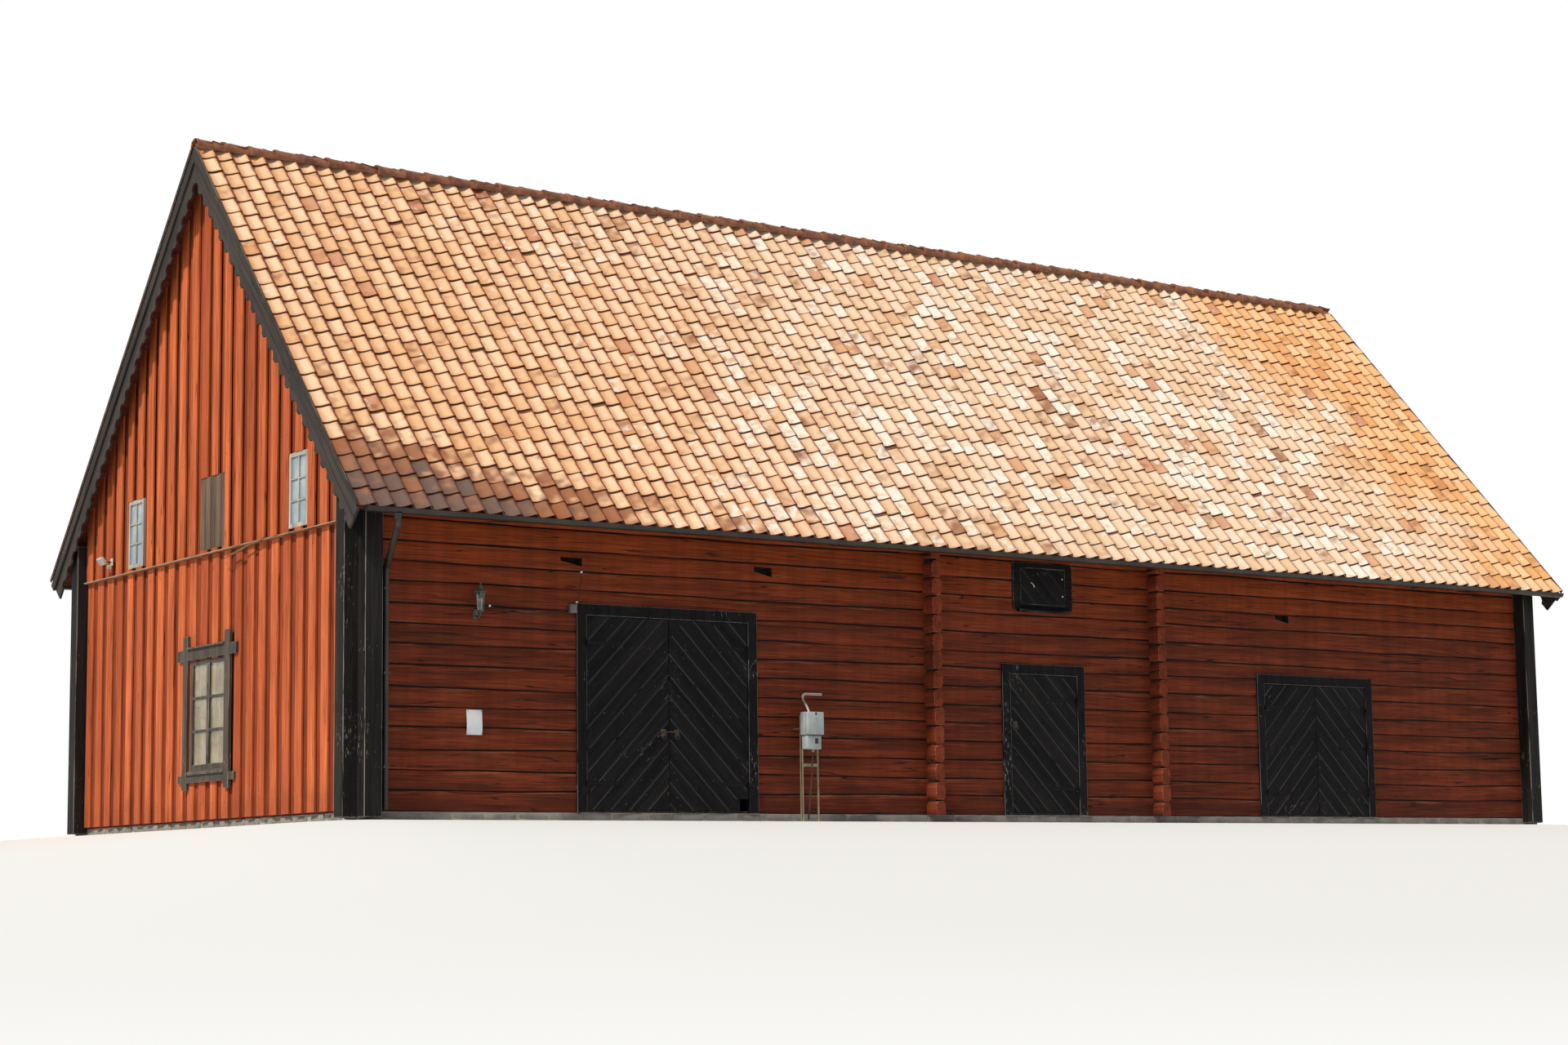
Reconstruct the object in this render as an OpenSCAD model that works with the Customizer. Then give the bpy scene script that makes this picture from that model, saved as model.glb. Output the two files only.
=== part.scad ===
// Red log barn with a steep pantiled roof, boxed log corners and three black doors.
// X runs along the building, Y runs into it from the door side, Z is up.
// The origin is on the ground below the middle of the building.

/* [Log walls] */
// Length over the outer faces of the gable log walls
wall_length = 20400; // [18500:100:23000]
// Width over the outer faces of the long log walls
wall_width = 8500; // [8000:100:9500]
// Thickness of the hewn logs
log_thickness = 180; // [150:10:210]
// Height of one course of logs
course_height = 248; // [240:2:260]
// Number of courses in the long walls
long_courses = 16; // [16:1:17]
// Number of courses in the gable walls, below the boarded gables
gable_courses = 14; // [14:1:15]
// How far the seams wander from an even spacing
seam_wander = 10; // [0:1:16]
// Depth of the groove between two logs
seam_depth = 13; // [4:1:20]
// Half the height of the groove between two logs
seam_half = 9; // [4:1:12]
// How far the log ends pass the wall at the corners
corner_end = 185; // [120:5:220]
// Height of the stone footing
footing_height = 100; // [60:10:140]
// How far the stone footing stands back from the face of the logs
footing_inset = 10; // [0:1:30]
// Width of the stone footing
footing_width = 200; // [180:10:260]

/* [Log end columns] */
// Distance from the left gable wall to the middle of the first column
column_1_from_left = 8468; // [8300:4:8900]
// Distance from the left gable wall to the middle of the second column
column_2_from_left = 12511; // [12380:1:13200]
// Width of a log end
column_width = 158; // [120:2:200]
// How far the log ends stand out of the wall
column_reach = 162; // [120:2:200]
// How far the log ends reach into the building
column_inside = 60; // [20:10:120]
// Courses of log ends in a column
column_courses = 14; // [12:1:14]
// Groove cut into a column between two log ends
column_groove = 16; // [4:1:24]
// How far the lowest log end passes the ones above it
column_sill = 45; // [0:5:80]
// Drop from a seam of the long walls to the seam of the cross walls
cross_drop = 62; // [30:2:124]

/* [Roof] */
// Pitch of the roof in degrees
roof_pitch = 48; // [44:1:50]
// Height of the rafter heel above the wall at its outer face
rafter_heel = 62; // [40:2:90]
// Depth of a rafter, square to the roof
rafter_depth = 180; // [140:10:200]
// Width of a rafter
rafter_width = 120; // [80:10:160]
// Number of rafter pairs
rafter_pairs = 11; // [7:1:13]
// Thickness of the boards and battens under the tiles
deck_thickness = 40; // [30:2:60]
// Thickness of the layer of tiles
tile_thickness = 60; // [50:2:70]
// How far the tiles pass the long walls
eave_overhang = 570; // [520:10:620]
// How far the boards stop short of the tile edge
deck_setback = 70; // [60:5:90]
// How far the roof passes the gable walls
verge_overhang = 310; // [290:10:400]
// Radius of the ridge tiles
ridge_radius = 115; // [100:5:130]
// Thickness of the ridge tiles
ridge_shell = 18; // [12:1:24]
// Number of tile rows from the ridge to the edge
tile_rows = 24; // [18:1:28]
// Step between two tile rows
tile_step = 22; // [10:1:30]

/* [Bargeboards] */
// Width of the upper bargeboard
barge_upper = 120; // [100:5:140]
// Width of the part of the lower bargeboard that shows
barge_lower = 215; // [170:5:240]
// Radius of one scallop
scallop_radius = 95; // [75:5:110]
// Depth of one scallop
scallop_depth = 62; // [30:2:80]
// Distance between two scallops
scallop_pitch = 250; // [230:5:320]
// How far the bargeboards pass the tile edge along the slope
barge_past = 40; // [0:5:60]
// Thickness of each bargeboard
barge_thickness = 28; // [20:1:36]

/* [Gutters and downspouts] */
// Outer radius of the gutter
gutter_radius = 65; // [55:1:72]
// Sheet thickness of the gutter and the pipes
sheet_metal = 4; // [3:0.5:5]
// How far the middle of the gutter lies outside the tile edge
gutter_offset = 35; // [32:1:45]
// Drop from the tile edge to the rim of the gutter
gutter_drop = 47; // [42:1:70]
// How far the gutter passes the gable walls
gutter_past = 220; // [150:10:240]
// Number of gutter brackets on each side
gutter_brackets = 13; // [7:1:25]
// Outer diameter of the downspout
spout_diameter = 75; // [60:1:85]
// Distance from the left gable wall to the downspout at the wall
spout_from_left = 313; // [290:1:360]
// Gap between the downspout and the wall
spout_gap = 40; // [30:1:80]
// How far the downspout's outlet lies to the left of the pipe at the wall
spout_shift = 123; // [60:1:130]

/* [Gable cladding] */
// Thickness of the lower cladding
lower_clad = 60; // [50:2:70]
// Thickness of the upper cladding, which hangs over the lower
upper_clad = 85; // [80:1:100]
// Thickness of the boards round the corner log ends
corner_board = 25; // [18:1:30]
// Height of the drip board above the ground at its lower edge
drip_height = 3530; // [3520:2:3552]
// Thickness of the drip board
drip_thickness = 30; // [20:1:36]
// How far the drip board passes the upper cladding
drip_lip = 35; // [15:1:60]

/* [Doors] */
// Clear width of the wide door
door_1_width = 2410; // [2200:10:2500]
// Clear height of the wide door above the footing
door_1_height = 2430; // [2300:10:2500]
// Distance from the left gable wall to the middle of the wide door
door_1_from_left = 4305; // [4200:10:4400]
// Clear width of the single door
door_2_width = 1200; // [1100:10:1260]
// Clear height of the single door above the footing
door_2_height = 1925; // [1850:5:1980]
// Distance from the left gable wall to the middle of the single door
door_2_from_left = 10450; // [10400:10:10500]
// Clear width of the far double door
door_3_width = 2100; // [2000:10:2200]
// Clear height of the far double door above the footing
door_3_height = 1935; // [1850:5:2100]
// Distance from the left gable wall to the middle of the far double door
door_3_from_left = 15710; // [15600:10:15800]
// Width of the flat casing round each doorway
casing_width = 140; // [110:5:160]
// Thickness of the casing
casing_thickness = 30; // [22:1:36]
// Thickness of the lining inside each doorway
lining_thickness = 40; // [30:1:60]
// Height of the threshold board
threshold_height = 25; // [15:1:40]
// Thickness of the boards of a door leaf
leaf_thickness = 35; // [28:1:45]
// Thickness of the ledges on the back of a leaf
ledge_thickness = 25; // [18:1:35]
// Height of a ledge
ledge_height = 140; // [100:5:180]
// Gap beside, over and under each leaf
leaf_gap = 8; // [7:0.5:12]
// Gap between the two leaves of a double door
meeting_gap = 10; // [9:0.5:14]
// How far the face of a leaf lies behind the face of its casing
leaf_recess = 10; // [6:1:16]
// Width and height of the piece broken off the wide door
broken_corner = [135, 150];

/* [Hinges and latches] */
// Radius of the hinge pins
pin_radius = 8; // [6:0.5:10]
// Clearance between a pin and its strap eye
pin_clearance = 0.5; // [0.3:0.1:1]
// Outer radius of the strap eye
eye_radius = 15; // [13:0.5:18]
// Height of a strap hinge
strap_height = 45; // [35:1:60]
// Length of a strap hinge
strap_length = 480; // [300:10:520]
// Thickness of a strap hinge
strap_thickness = 6; // [4:0.5:8]
// Distance from the bottom and the top of a leaf to its straps
strap_inset = 330; // [250:10:360]
// Gap between the strap eye and the casing
eye_gap = 5.5; // [5:0.5:9]
// Height of the latches above the footing
latch_height = 1000; // [900:10:1150]

/* [Hatches and windows] */
// Clear width of the hatch over the single door
hatch_width = 800; // [700:10:900]
// Clear height of that hatch
hatch_height = 500; // [450:10:560]
// Height of the underside of that hatch above the ground
hatch_sill = 3000; // [2900:10:3050]
// Distance from the left gable wall to the middle of that hatch
hatch_from_left = 10470; // [10440:10:10500]
// Width of the boards round that hatch
hatch_trim = 130; // [90:5:140]
// Width of the lower gable window
low_window_width = 1080; // [960:10:1200]
// Height of the lower gable window
low_window_height = 1400; // [1300:10:1500]
// Height of its underside above the ground
low_window_sill = 775; // [650:5:850]
// Distance from the door side wall to the middle of the lower window
low_window_from_front = 4125; // [3900:25:4350]
// Width of the upper gable windows
high_window_width = 520; // [440:10:600]
// Height of the upper gable windows
high_window_height = 930; // [860:10:960]
// Distance from the drip board to the underside of what stands on it
high_window_sill = 40; // [20:5:90]
// Distance from the middle of the loft hatch to the middle of each upper window
high_window_offset = 2525; // [2200:25:2600]
// Width of the boarded loft hatch in each gable
loft_hatch_width = 770; // [600:10:900]
// Height of the boarded loft hatch in each gable
loft_hatch_height = 950; // [860:10:1050]
// Distance from the door side wall to the middle of the loft hatch
loft_hatch_from_front = 4030; // [3900:10:4400]
// Width of a window's wooden frame
sash_width = 55; // [40:1:70]
// Depth of a window's wooden frame
sash_depth = 45; // [35:1:55]
// Thickness of the window glass
glass_thickness = 6; // [4:1:8]
// Width of the lapped boards round the lower window
trim_width = 145; // [100:5:150]
// Thickness of the lapped boards round the lower window
trim_thickness = 36; // [20:1:40]
// How far the lapped boards pass each other
trim_lap = 190; // [100:5:220]
// Gap between the window frame and the uprights beside it
trim_reveal = 35; // [0:5:50]

/* [Loft and floor] */
// Height of the beams that carry the lofts
beam_height = 200; // [150:10:240]
// Width of the beams that carry the lofts
beam_width = 160; // [120:10:220]
// Height of the underside of those beams above the ground
beam_level = 3250; // [3200:10:3280]
// Thickness of the loft floors
loft_thickness = 40; // [30:1:60]

/* [Fixtures] */
// Distance from the left gable wall to the lantern
lantern_from_left = 1550; // [1500:10:1700]
// Distance from the wall to the middle of the lantern
lantern_reach = 130; // [110:5:160]
// Height of the underside of the lantern
lantern_bottom = 2410; // [2300:10:2500]
// Height of the lantern
lantern_height = 450; // [400:5:500]
// Distance from the left gable wall to the middle of the meter cabinet
meter_from_left = 6330; // [6280:10:6600]
// Gap between the meter stand and the wall
meter_gap = 160; // [120:10:200]
// Height of the top of the meter cabinet
meter_top = 1400; // [1300:10:1500]
// Width of the meter cabinet
meter_width = 270; // [220:5:320]
// Distance from the back wall to the floodlight
flood_from_back = 1150; // [1000:25:1300]
// Height of the floodlight above the drip board
flood_rise = 195; // [150:5:260]

/* [Hidden] */
$fn = 48;

falu_red = "#9c3a20";
tar_black = "#23262a";
tile_orange = "#d98447";
zinc_grey = "#3c4043";

// Levels and half sizes
half_length = wall_length / 2;
half_width = wall_width / 2;
wall_top = footing_height + long_courses * course_height;
gable_top = footing_height + gable_courses * course_height;
door_faces = -half_width;
tan_pitch = tan(roof_pitch);
cos_pitch = cos(roof_pitch);
sin_pitch = sin(roof_pitch);
deck_apex = wall_top + rafter_heel + half_width * tan_pitch;
tile_apex = deck_apex + (deck_thickness + tile_thickness) / cos_pitch;
tile_edge = half_width + eave_overhang;
tile_edge_z = tile_apex - tile_edge * tan_pitch;
deck_edge = tile_edge - deck_setback;
roof_half_length = half_length + verge_overhang;
barge_outer = roof_half_length;
// Two sloped pieces that rest on each other keep this seat between them
roof_seat = 0.2;

// Door data: middle along X, clear width and clear height above the footing
door_1 = [door_1_from_left - half_length, door_1_width, door_1_height];
door_2 = [door_2_from_left - half_length, door_2_width, door_2_height];
door_3 = [door_3_from_left - half_length, door_3_width, door_3_height];
function door_left(d) = d[0] - d[1] / 2;
function door_right(d) = d[0] + d[1] / 2;
function rough_left(d) = door_left(d) - lining_thickness;
function rough_right(d) = door_right(d) + lining_thickness;
function clear_top(d) = footing_height + d[2];
function rough_top(d) = clear_top(d) + lining_thickness;
leaf_bottom = footing_height + threshold_height + leaf_gap;
leaf_face = door_faces - casing_thickness + leaf_recess;
pin_y = door_faces - casing_thickness - eye_gap - eye_radius;
hatch_x = hatch_from_left - half_length;

// Seam heights: one rule for every long wall, and a drop for the cross walls
seam_turn = 107;
function seam(k) = footing_height + k * course_height + seam_wander * sin(k * seam_turn);
function cross_seam(k) = seam(k) - cross_drop;
function within(levels, z0, z1) =
    [for (z = levels) if (z > z0 + 2 * seam_half && z < z1 - 2 * seam_half) z];
function seams(z0, z1) = within([for (k = [1:long_courses - 1]) seam(k)], z0, z1);
function cross_seams(z0, z1) = within([for (k = [1:long_courses - 1]) cross_seam(k)], z0, z1);
function notched(side, z, depth, half) =
    [[side, z - half], [side - sign(side) * depth, z], [side, z + half]];
function log_outline(z0, z1, cuts, half, depth, groove) = concat(
    [[half, z0]],
    [for (z = cuts) each notched(half, z, depth, groove)],
    [[half, z1], [-half, z1]],
    [for (i = [len(cuts) - 1:-1:0], j = [2:-1:0]) notched(-half, cuts[i], depth, groove)[j]],
    [[-half, z0]]);

// Rise of a roof plane that lies deep under the tile faces, square to the slope
function roof_z(y, deep) = tile_apex - deep / cos_pitch - abs(y) * tan_pitch;

// Extrudes a YZ outline from x0 to x1
module along_x(x0, x1) {
    translate([x0, 0, 0]) rotate([90, 0, 90]) linear_extrude(x1 - x0) children();
}

// Extrudes an XZ outline from y0 to y1
module along_y(y0, y1) {
    translate([0, y1, 0]) rotate([90, 0, 0]) linear_extrude(y1 - y0) children();
}

module block(x0, x1, y0, y1, z0, z1) {
    translate([x0, y0, z0]) cube([x1 - x0, y1 - y0, z1 - z0]);
}

module both_ends() {
    children();
    mirror([1, 0, 0]) children();
}

module both_sides() {
    children();
    mirror([0, 1, 0]) children();
}

// Log walls
module log_run(x0, x1, z0, z1, side = -1) {
    color(falu_red) along_x(x0, x1) translate([side * (half_width - log_thickness / 2), 0])
        polygon(log_outline(z0, z1, seams(z0, z1), log_thickness / 2, seam_depth, seam_half));
}

// Vent slots that don't go through: distance from the left gable wall to the middle, width, level, height
slot_depth = 120;
slot_1 = [2895, 310, 3185, 105];
slot_2 = [5775, 275, 3210, 120];
slot_3 = [15095, 265, 3005, 120];
module vent_slot(slot) {
    translate([slot[0] - half_length, door_faces, slot[2]])
        cube([slot[1], 2 * slot_depth, slot[3]], center = true);
}
module vent_slots() {
    for (slot = [slot_1, slot_2, slot_3]) vent_slot(slot);
}

module front_run(x0, x1, z0) {
    color(falu_red) difference() {
        log_run(x0, x1, z0, wall_top);
        vent_slots();
    }
}

log_reach = half_length + corner_end;
module front_wall_piers() {
    front_run(-log_reach, rough_left(door_1), footing_height);
    front_run(rough_right(door_1), rough_left(door_2), footing_height);
    front_run(rough_right(door_2), rough_left(door_3), footing_height);
    front_run(rough_right(door_3), log_reach, footing_height);
}
module hatch_outline(side_trim, end_trim) {
    translate([hatch_x, hatch_sill + hatch_height / 2])
        square([hatch_width + 2 * side_trim, hatch_height + 2 * end_trim], center = true);
}
module front_wall_over_doors() {
    color(falu_red) difference() {
        for (d = [door_1, door_2, door_3]) front_run(rough_left(d), rough_right(d), rough_top(d));
        along_y(door_faces - 1, door_faces + log_thickness + 1) hatch_outline(0, 0);
    }
}
module back_wall() {
    log_run(-log_reach, log_reach, footing_height, wall_top, 1);
}

// Gable log walls stand between the long walls, and their log ends show again outside them
box_clearance = 15;
box_top = roof_z(half_width + corner_end + corner_board, deck_thickness + tile_thickness) - box_clearance;
module gable_run(y0, y1, top) {
    along_y(y0, y1) translate([-half_length + log_thickness / 2, 0])
        polygon(log_outline(footing_height, top, cross_seams(footing_height, top),
            log_thickness / 2, seam_depth, seam_half));
}
low_window_y = low_window_from_front - half_width;
module low_window_hole() {
    translate([-half_length, low_window_y, low_window_sill + low_window_height / 2])
        cube([4 * log_thickness, low_window_width, low_window_height], center = true);
}
module gable_log_walls() {
    color(falu_red) both_ends() {
        difference() {
            gable_run(-half_width + log_thickness, half_width - log_thickness, gable_top);
            low_window_hole();
        }
        both_sides() gable_run(-half_width - corner_end, -half_width, box_top);
    }
}

// Columns of log ends where two cross walls meet the long walls
column_top = footing_height + column_courses * course_height;
module column_outline() {
    reach = column_reach + seam_depth;
    cuts = cross_seams(footing_height, column_top);
    polygon(concat([[0, footing_height]],
        [for (z = cuts) each [[0, z - seam_half], [column_groove, z], [0, z + seam_half]]],
        [[0, column_top], [reach, column_top], [reach, footing_height]]));
}
module column_ends(x, side) {
    mirror([0, side > 0 ? 1 : 0, 0]) {
        difference() {
            union() {
                along_x(x - column_width / 2, x + column_width / 2)
                    translate([-half_width - column_reach, 0]) column_outline();
                block(x - column_width / 2, x + column_width / 2, -half_width - column_reach - column_sill,
                    -half_width - column_reach, footing_height, cross_seam(1) - seam_half);
            }
            log_run(x - column_width, x + column_width, footing_height - 1, wall_top);
        }
        block(x - column_width / 2, x + column_width / 2, -half_width + log_thickness,
            -half_width + log_thickness + column_inside, footing_height, column_top);
    }
}
module log_end_columns() {
    color(falu_red) for (x = [column_1_from_left, column_2_from_left], side = [-1, 1])
        column_ends(x - half_length, side);
}

// Black boards that box in the log ends at the corners
board_bottom = 30;
module end_box(top) {
    // Channel round a log end that points along -Y, with its root at the origin
    along = corner_end + corner_board;
    translate([0, 0, board_bottom]) linear_extrude(top - board_bottom) polygon([
        [-corner_board, 0], [-corner_board, -along], [log_thickness + corner_board, -along],
        [log_thickness + corner_board, 0], [log_thickness, 0], [log_thickness, -corner_end],
        [0, -corner_end], [0, 0]]);
}
module side_box(top) {
    // Channel round a log end that points along -X, with its root at the origin
    along = corner_end + corner_board;
    translate([0, 0, board_bottom]) linear_extrude(top - board_bottom) polygon([
        [-corner_board, 0], [-corner_board, -corner_board], [-along, -corner_board],
        [-along, log_thickness + corner_board], [0, log_thickness + corner_board],
        [0, log_thickness], [-corner_end, log_thickness], [-corner_end, 0]]);
}
module corner_boards() {
    color(tar_black) both_ends() both_sides() translate([-half_length, -half_width, 0]) {
        end_box(box_top);
        side_box(wall_top);
    }
}

// Stone footing in four runs that butt at the corners
module stone_footing() {
    far = footing_inset + footing_width;
    color("#8a877f") {
        both_sides() block(-half_length + footing_inset, half_length - footing_inset,
            -half_width + footing_inset, -half_width + far, 0, footing_height);
        both_ends() block(-half_length + footing_inset, -half_length + far, -half_width + far,
            half_width - far, 0, footing_height);
    }
}

// Board cladding on the gables
clad_half = half_width - log_thickness - corner_board;
clad_lift = 20;
clad_foot = footing_height + clad_lift;
loft_hatch_y = loft_hatch_from_front - half_width;
high_window_ys = [loft_hatch_y - high_window_offset, loft_hatch_y + high_window_offset];
drip_top = drip_height + drip_thickness;
module high_openings() {
    sill = drip_top + high_window_sill;
    for (y = high_window_ys) translate([y, sill + high_window_height / 2])
        square([high_window_width, high_window_height], center = true);
    translate([loft_hatch_y, sill + loft_hatch_height / 2])
        square([loft_hatch_width, loft_hatch_height], center = true);
}
module lower_cladding() {
    color(falu_red) both_ends() difference() {
        along_x(-half_length - lower_clad, -half_length) translate([-clad_half, clad_foot])
            square([2 * clad_half, drip_height - clad_foot]);
        low_window_hole();
    }
}
module upper_cladding() {
    deep = tile_thickness + deck_thickness + roof_seat;
    color(falu_red) both_ends() along_x(-half_length - upper_clad, -half_length) difference() {
        polygon([[-clad_half, drip_top], [clad_half, drip_top], [clad_half, roof_z(clad_half, deep)],
            [0, roof_z(0, deep)], [-clad_half, roof_z(clad_half, deep)]]);
        high_openings();
    }
}
module drip_boards() {
    reach = upper_clad + drip_lip;
    third = drip_thickness / 3;
    color(falu_red) both_ends() along_y(-clad_half, clad_half)
        translate([-half_length, drip_height]) polygon([
            [0, 0], [-reach + third, 0], [-reach, third], [-reach, 2 * third],
            [-upper_clad, drip_thickness], [0, drip_thickness]]);
}

// Beams, lofts and rafters
rafter_step = (wall_length - rafter_width) / (rafter_pairs - 1);
function rafter_x(i) = -half_length + i * rafter_step;
inner_half = half_width - log_thickness;
module loft_beams() {
    color("#6d5540") for (i = [1:rafter_pairs - 2])
        block(rafter_x(i), rafter_x(i) + beam_width, -inner_half, inner_half,
            beam_level, beam_level + beam_height);
}
module loft_floors() {
    level = beam_level + beam_height;
    left_end = column_1_from_left - column_width / 2 - half_length;
    right_start = column_2_from_left + column_width / 2 - half_length;
    inner_end = half_length - log_thickness;
    color("#7b6248") {
        block(-inner_end, left_end, -inner_half, inner_half, level, level + loft_thickness);
        block(right_start, inner_end, -inner_half, inner_half, level, level + loft_thickness);
    }
}
module rafter_outline() {
    deep = tile_thickness + deck_thickness + roof_seat;
    low = deep + rafter_depth;
    seat = (roof_z(0, low) - wall_top) / tan_pitch;
    polygon([[0, roof_z(0, deep)], [-half_width, roof_z(half_width, deep)], [-half_width, wall_top],
        [-seat, wall_top], [0, roof_z(0, low)]]);
}
module front_rafters() {
    color("#6d5540") for (i = [0:rafter_pairs - 1])
        along_x(rafter_x(i), rafter_x(i) + rafter_width) rafter_outline();
}
module back_rafters() {
    mirror([0, 1, 0]) front_rafters();
}

// Roof planes
tile_slope = tile_edge / cos_pitch;
tile_row = tile_slope / tile_rows;
function on_slope(along, deep) =
    [-along * cos_pitch + deep * sin_pitch, tile_apex - along * sin_pitch - deep * cos_pitch];
module tile_outline() {
    // Each row rises from its upper end to a step at its lower end
    rows = [for (k = [1:tile_rows], lower = [0, 1])
        on_slope((k - 1 + lower) * tile_row, lower == 1 || k == 1 ? 0 : tile_step)];
    low = tile_thickness - roof_seat;
    polygon(concat(rows, [on_slope(tile_slope, low), [0, roof_z(0, low)]]));
}
module front_roof_boards() {
    deep = tile_thickness + deck_thickness;
    deck_half = roof_half_length - barge_thickness;
    color("#7d3a26") along_x(-deck_half, deck_half) polygon([
        [0, roof_z(0, tile_thickness)], [-deck_edge, roof_z(deck_edge, tile_thickness)],
        [-deck_edge, roof_z(deck_edge, deep)], [0, roof_z(0, deep)]]);
}
module back_roof_boards() {
    mirror([0, 1, 0]) front_roof_boards();
}
module front_tiles() {
    color(tile_orange) along_x(-roof_half_length, roof_half_length) tile_outline();
}
module back_tiles() {
    mirror([0, 1, 0]) front_tiles();
}
ridge_drop = 55;
module ridge_tiles() {
    // A half round cap that rests on the two tile faces
    color("#c47a48") along_x(-roof_half_length, roof_half_length) difference() {
        translate([0, tile_apex - ridge_drop]) difference() {
            circle(ridge_radius);
            circle(ridge_radius - ridge_shell);
        }
        polygon([[0, tile_apex], [2 * ridge_radius, roof_z(2 * ridge_radius, 0)], [2 * ridge_radius, 0],
            [-2 * ridge_radius, 0], [-2 * ridge_radius, roof_z(2 * ridge_radius, 0)]]);
    }
}

// Bargeboards: an upper board and a lower one with a scalloped edge, both cut square at their feet
barge_foot = tile_slope + barge_past;
barge_top = tile_thickness + roof_seat;
barge_middle = barge_top + barge_upper;
barge_edge = barge_middle + barge_lower;
module barge_strip(from, to, foot) {
    polygon([[0, roof_z(0, from)], on_slope(foot, from), on_slope(foot, to), [0, roof_z(0, to)]]);
}
scallop_shift = 20;
module scallops() {
    count = floor(barge_foot / scallop_pitch);
    out = scallop_radius - scallop_depth;
    for (i = [2:count]) translate(on_slope(i * scallop_pitch - scallop_shift, barge_edge + out))
        circle(scallop_radius);
}
module barge_pair() {
    along_x(-barge_outer, -barge_outer + barge_thickness) barge_strip(barge_top, barge_middle, barge_foot);
    along_x(-barge_outer + barge_thickness, -barge_outer + 2 * barge_thickness) difference() {
        barge_strip(tile_thickness + deck_thickness + roof_seat, barge_edge, barge_foot - barge_past / 2);
        scallops();
    }
}
module front_bargeboards() {
    color(tar_black) both_ends() barge_pair();
}
module back_bargeboards() {
    mirror([0, 1, 0]) front_bargeboards();
}

// Gutters and downspouts
gutter_y = tile_edge + gutter_offset;
gutter_half = half_length + gutter_past;
gutter_z = tile_edge_z - gutter_drop;
module gutter_section() {
    difference() {
        circle(gutter_radius);
        circle(gutter_radius - sheet_metal);
        translate([-2 * gutter_radius, 0]) square([4 * gutter_radius, 2 * gutter_radius]);
    }
}
bracket_inset = 230;
bracket_width = 30;
module gutter() {
    deep = tile_thickness + deck_thickness;
    shelf = roof_z(deck_edge, deep);
    bracket_step = (2 * gutter_half - 2 * bracket_inset) / (gutter_brackets - 1);
    translate([0, -gutter_y, gutter_z]) {
        along_x(-gutter_half, gutter_half) gutter_section();
        both_ends() along_x(-gutter_half, -gutter_half + sheet_metal) difference() {
            circle(gutter_radius);
            translate([-2 * gutter_radius, 0]) square([4 * gutter_radius, 2 * gutter_radius]);
        }
    }
    for (i = [0:gutter_brackets - 1]) {
        x = -gutter_half + bracket_inset + i * bracket_step;
        block(x - bracket_width / 2, x + bracket_width / 2,
            -gutter_y + gutter_radius - sheet_metal, -deck_edge, shelf, gutter_z);
    }
}
module gutters() {
    color(zinc_grey) both_sides() gutter();
}

spout_radius = spout_diameter / 2;
spout_wall_x = spout_from_left - half_length;
spout_top_x = spout_wall_x - spout_shift;
spout_wall_y = -half_width - spout_gap - spout_radius;
spout_bend = [3390, 2960];
spout_end = 120;
spout_bore = 150;
outlet_stretch = 600;
clip_levels = [600, 1700, 2700];
clip_height = 30;
bore_past = 1;
clip_side = 6;
clip_front = 4;
module rod(a, b, r) {
    d = b - a;
    translate(a) rotate([0, acos(d[2] / norm(d)), atan2(d[1], d[0])]) cylinder(r = r, h = norm(d));
}
module downspout() {
    top = [spout_top_x, -gutter_y, gutter_z - gutter_radius + sheet_metal];
    a = [spout_top_x, -gutter_y, spout_bend[0]];
    b = [spout_wall_x, spout_wall_y, spout_bend[1]];
    low = [spout_wall_x, spout_wall_y, spout_end];
    difference() {
        union() {
            rod(a, top, spout_radius);
            rod(a, b, spout_radius);
            rod(low, b, spout_radius);
            translate(a) sphere(spout_radius + sheet_metal);
            translate(b) sphere(spout_radius + sheet_metal);
        }
        translate([0, -gutter_y, gutter_z]) along_x(-half_length, -half_length + outlet_stretch)
            circle(gutter_radius);
        translate(low - [0, 0, 1]) cylinder(r = spout_radius - sheet_metal, h = spout_bore);
    }
    clip_half = spout_radius + clip_side;
    for (z = clip_levels) difference() {
        block(spout_wall_x - clip_half, spout_wall_x + clip_half, spout_wall_y - spout_radius - clip_front,
            -half_width, z, z + clip_height);
        translate([spout_wall_x, spout_wall_y, z - bore_past])
            cylinder(r = spout_radius - sheet_metal / 2, h = clip_height + 2 * bore_past);
    }
}
module downspouts() {
    color(zinc_grey) both_sides() downspout();
}

// Door frames
module doorway_frame(d) {
    left = door_left(d);
    right = door_right(d);
    top = clear_top(d);
    color(tar_black) {
        along_y(door_faces, door_faces + log_thickness) difference() {
            translate([rough_left(d), footing_height])
                square([rough_right(d) - rough_left(d), rough_top(d) - footing_height]);
            translate([left, footing_height + threshold_height])
                square([right - left, top - footing_height - threshold_height]);
        }
        along_y(door_faces - casing_thickness, door_faces) difference() {
            translate([left - casing_width, footing_height])
                square([right - left + 2 * casing_width, top - footing_height + casing_width]);
            translate([left, footing_height - 1]) square([right - left, top - footing_height + 1]);
        }
    }
}
module door_frames() {
    for (d = [door_1, door_2, door_3]) doorway_frame(d);
}

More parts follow.
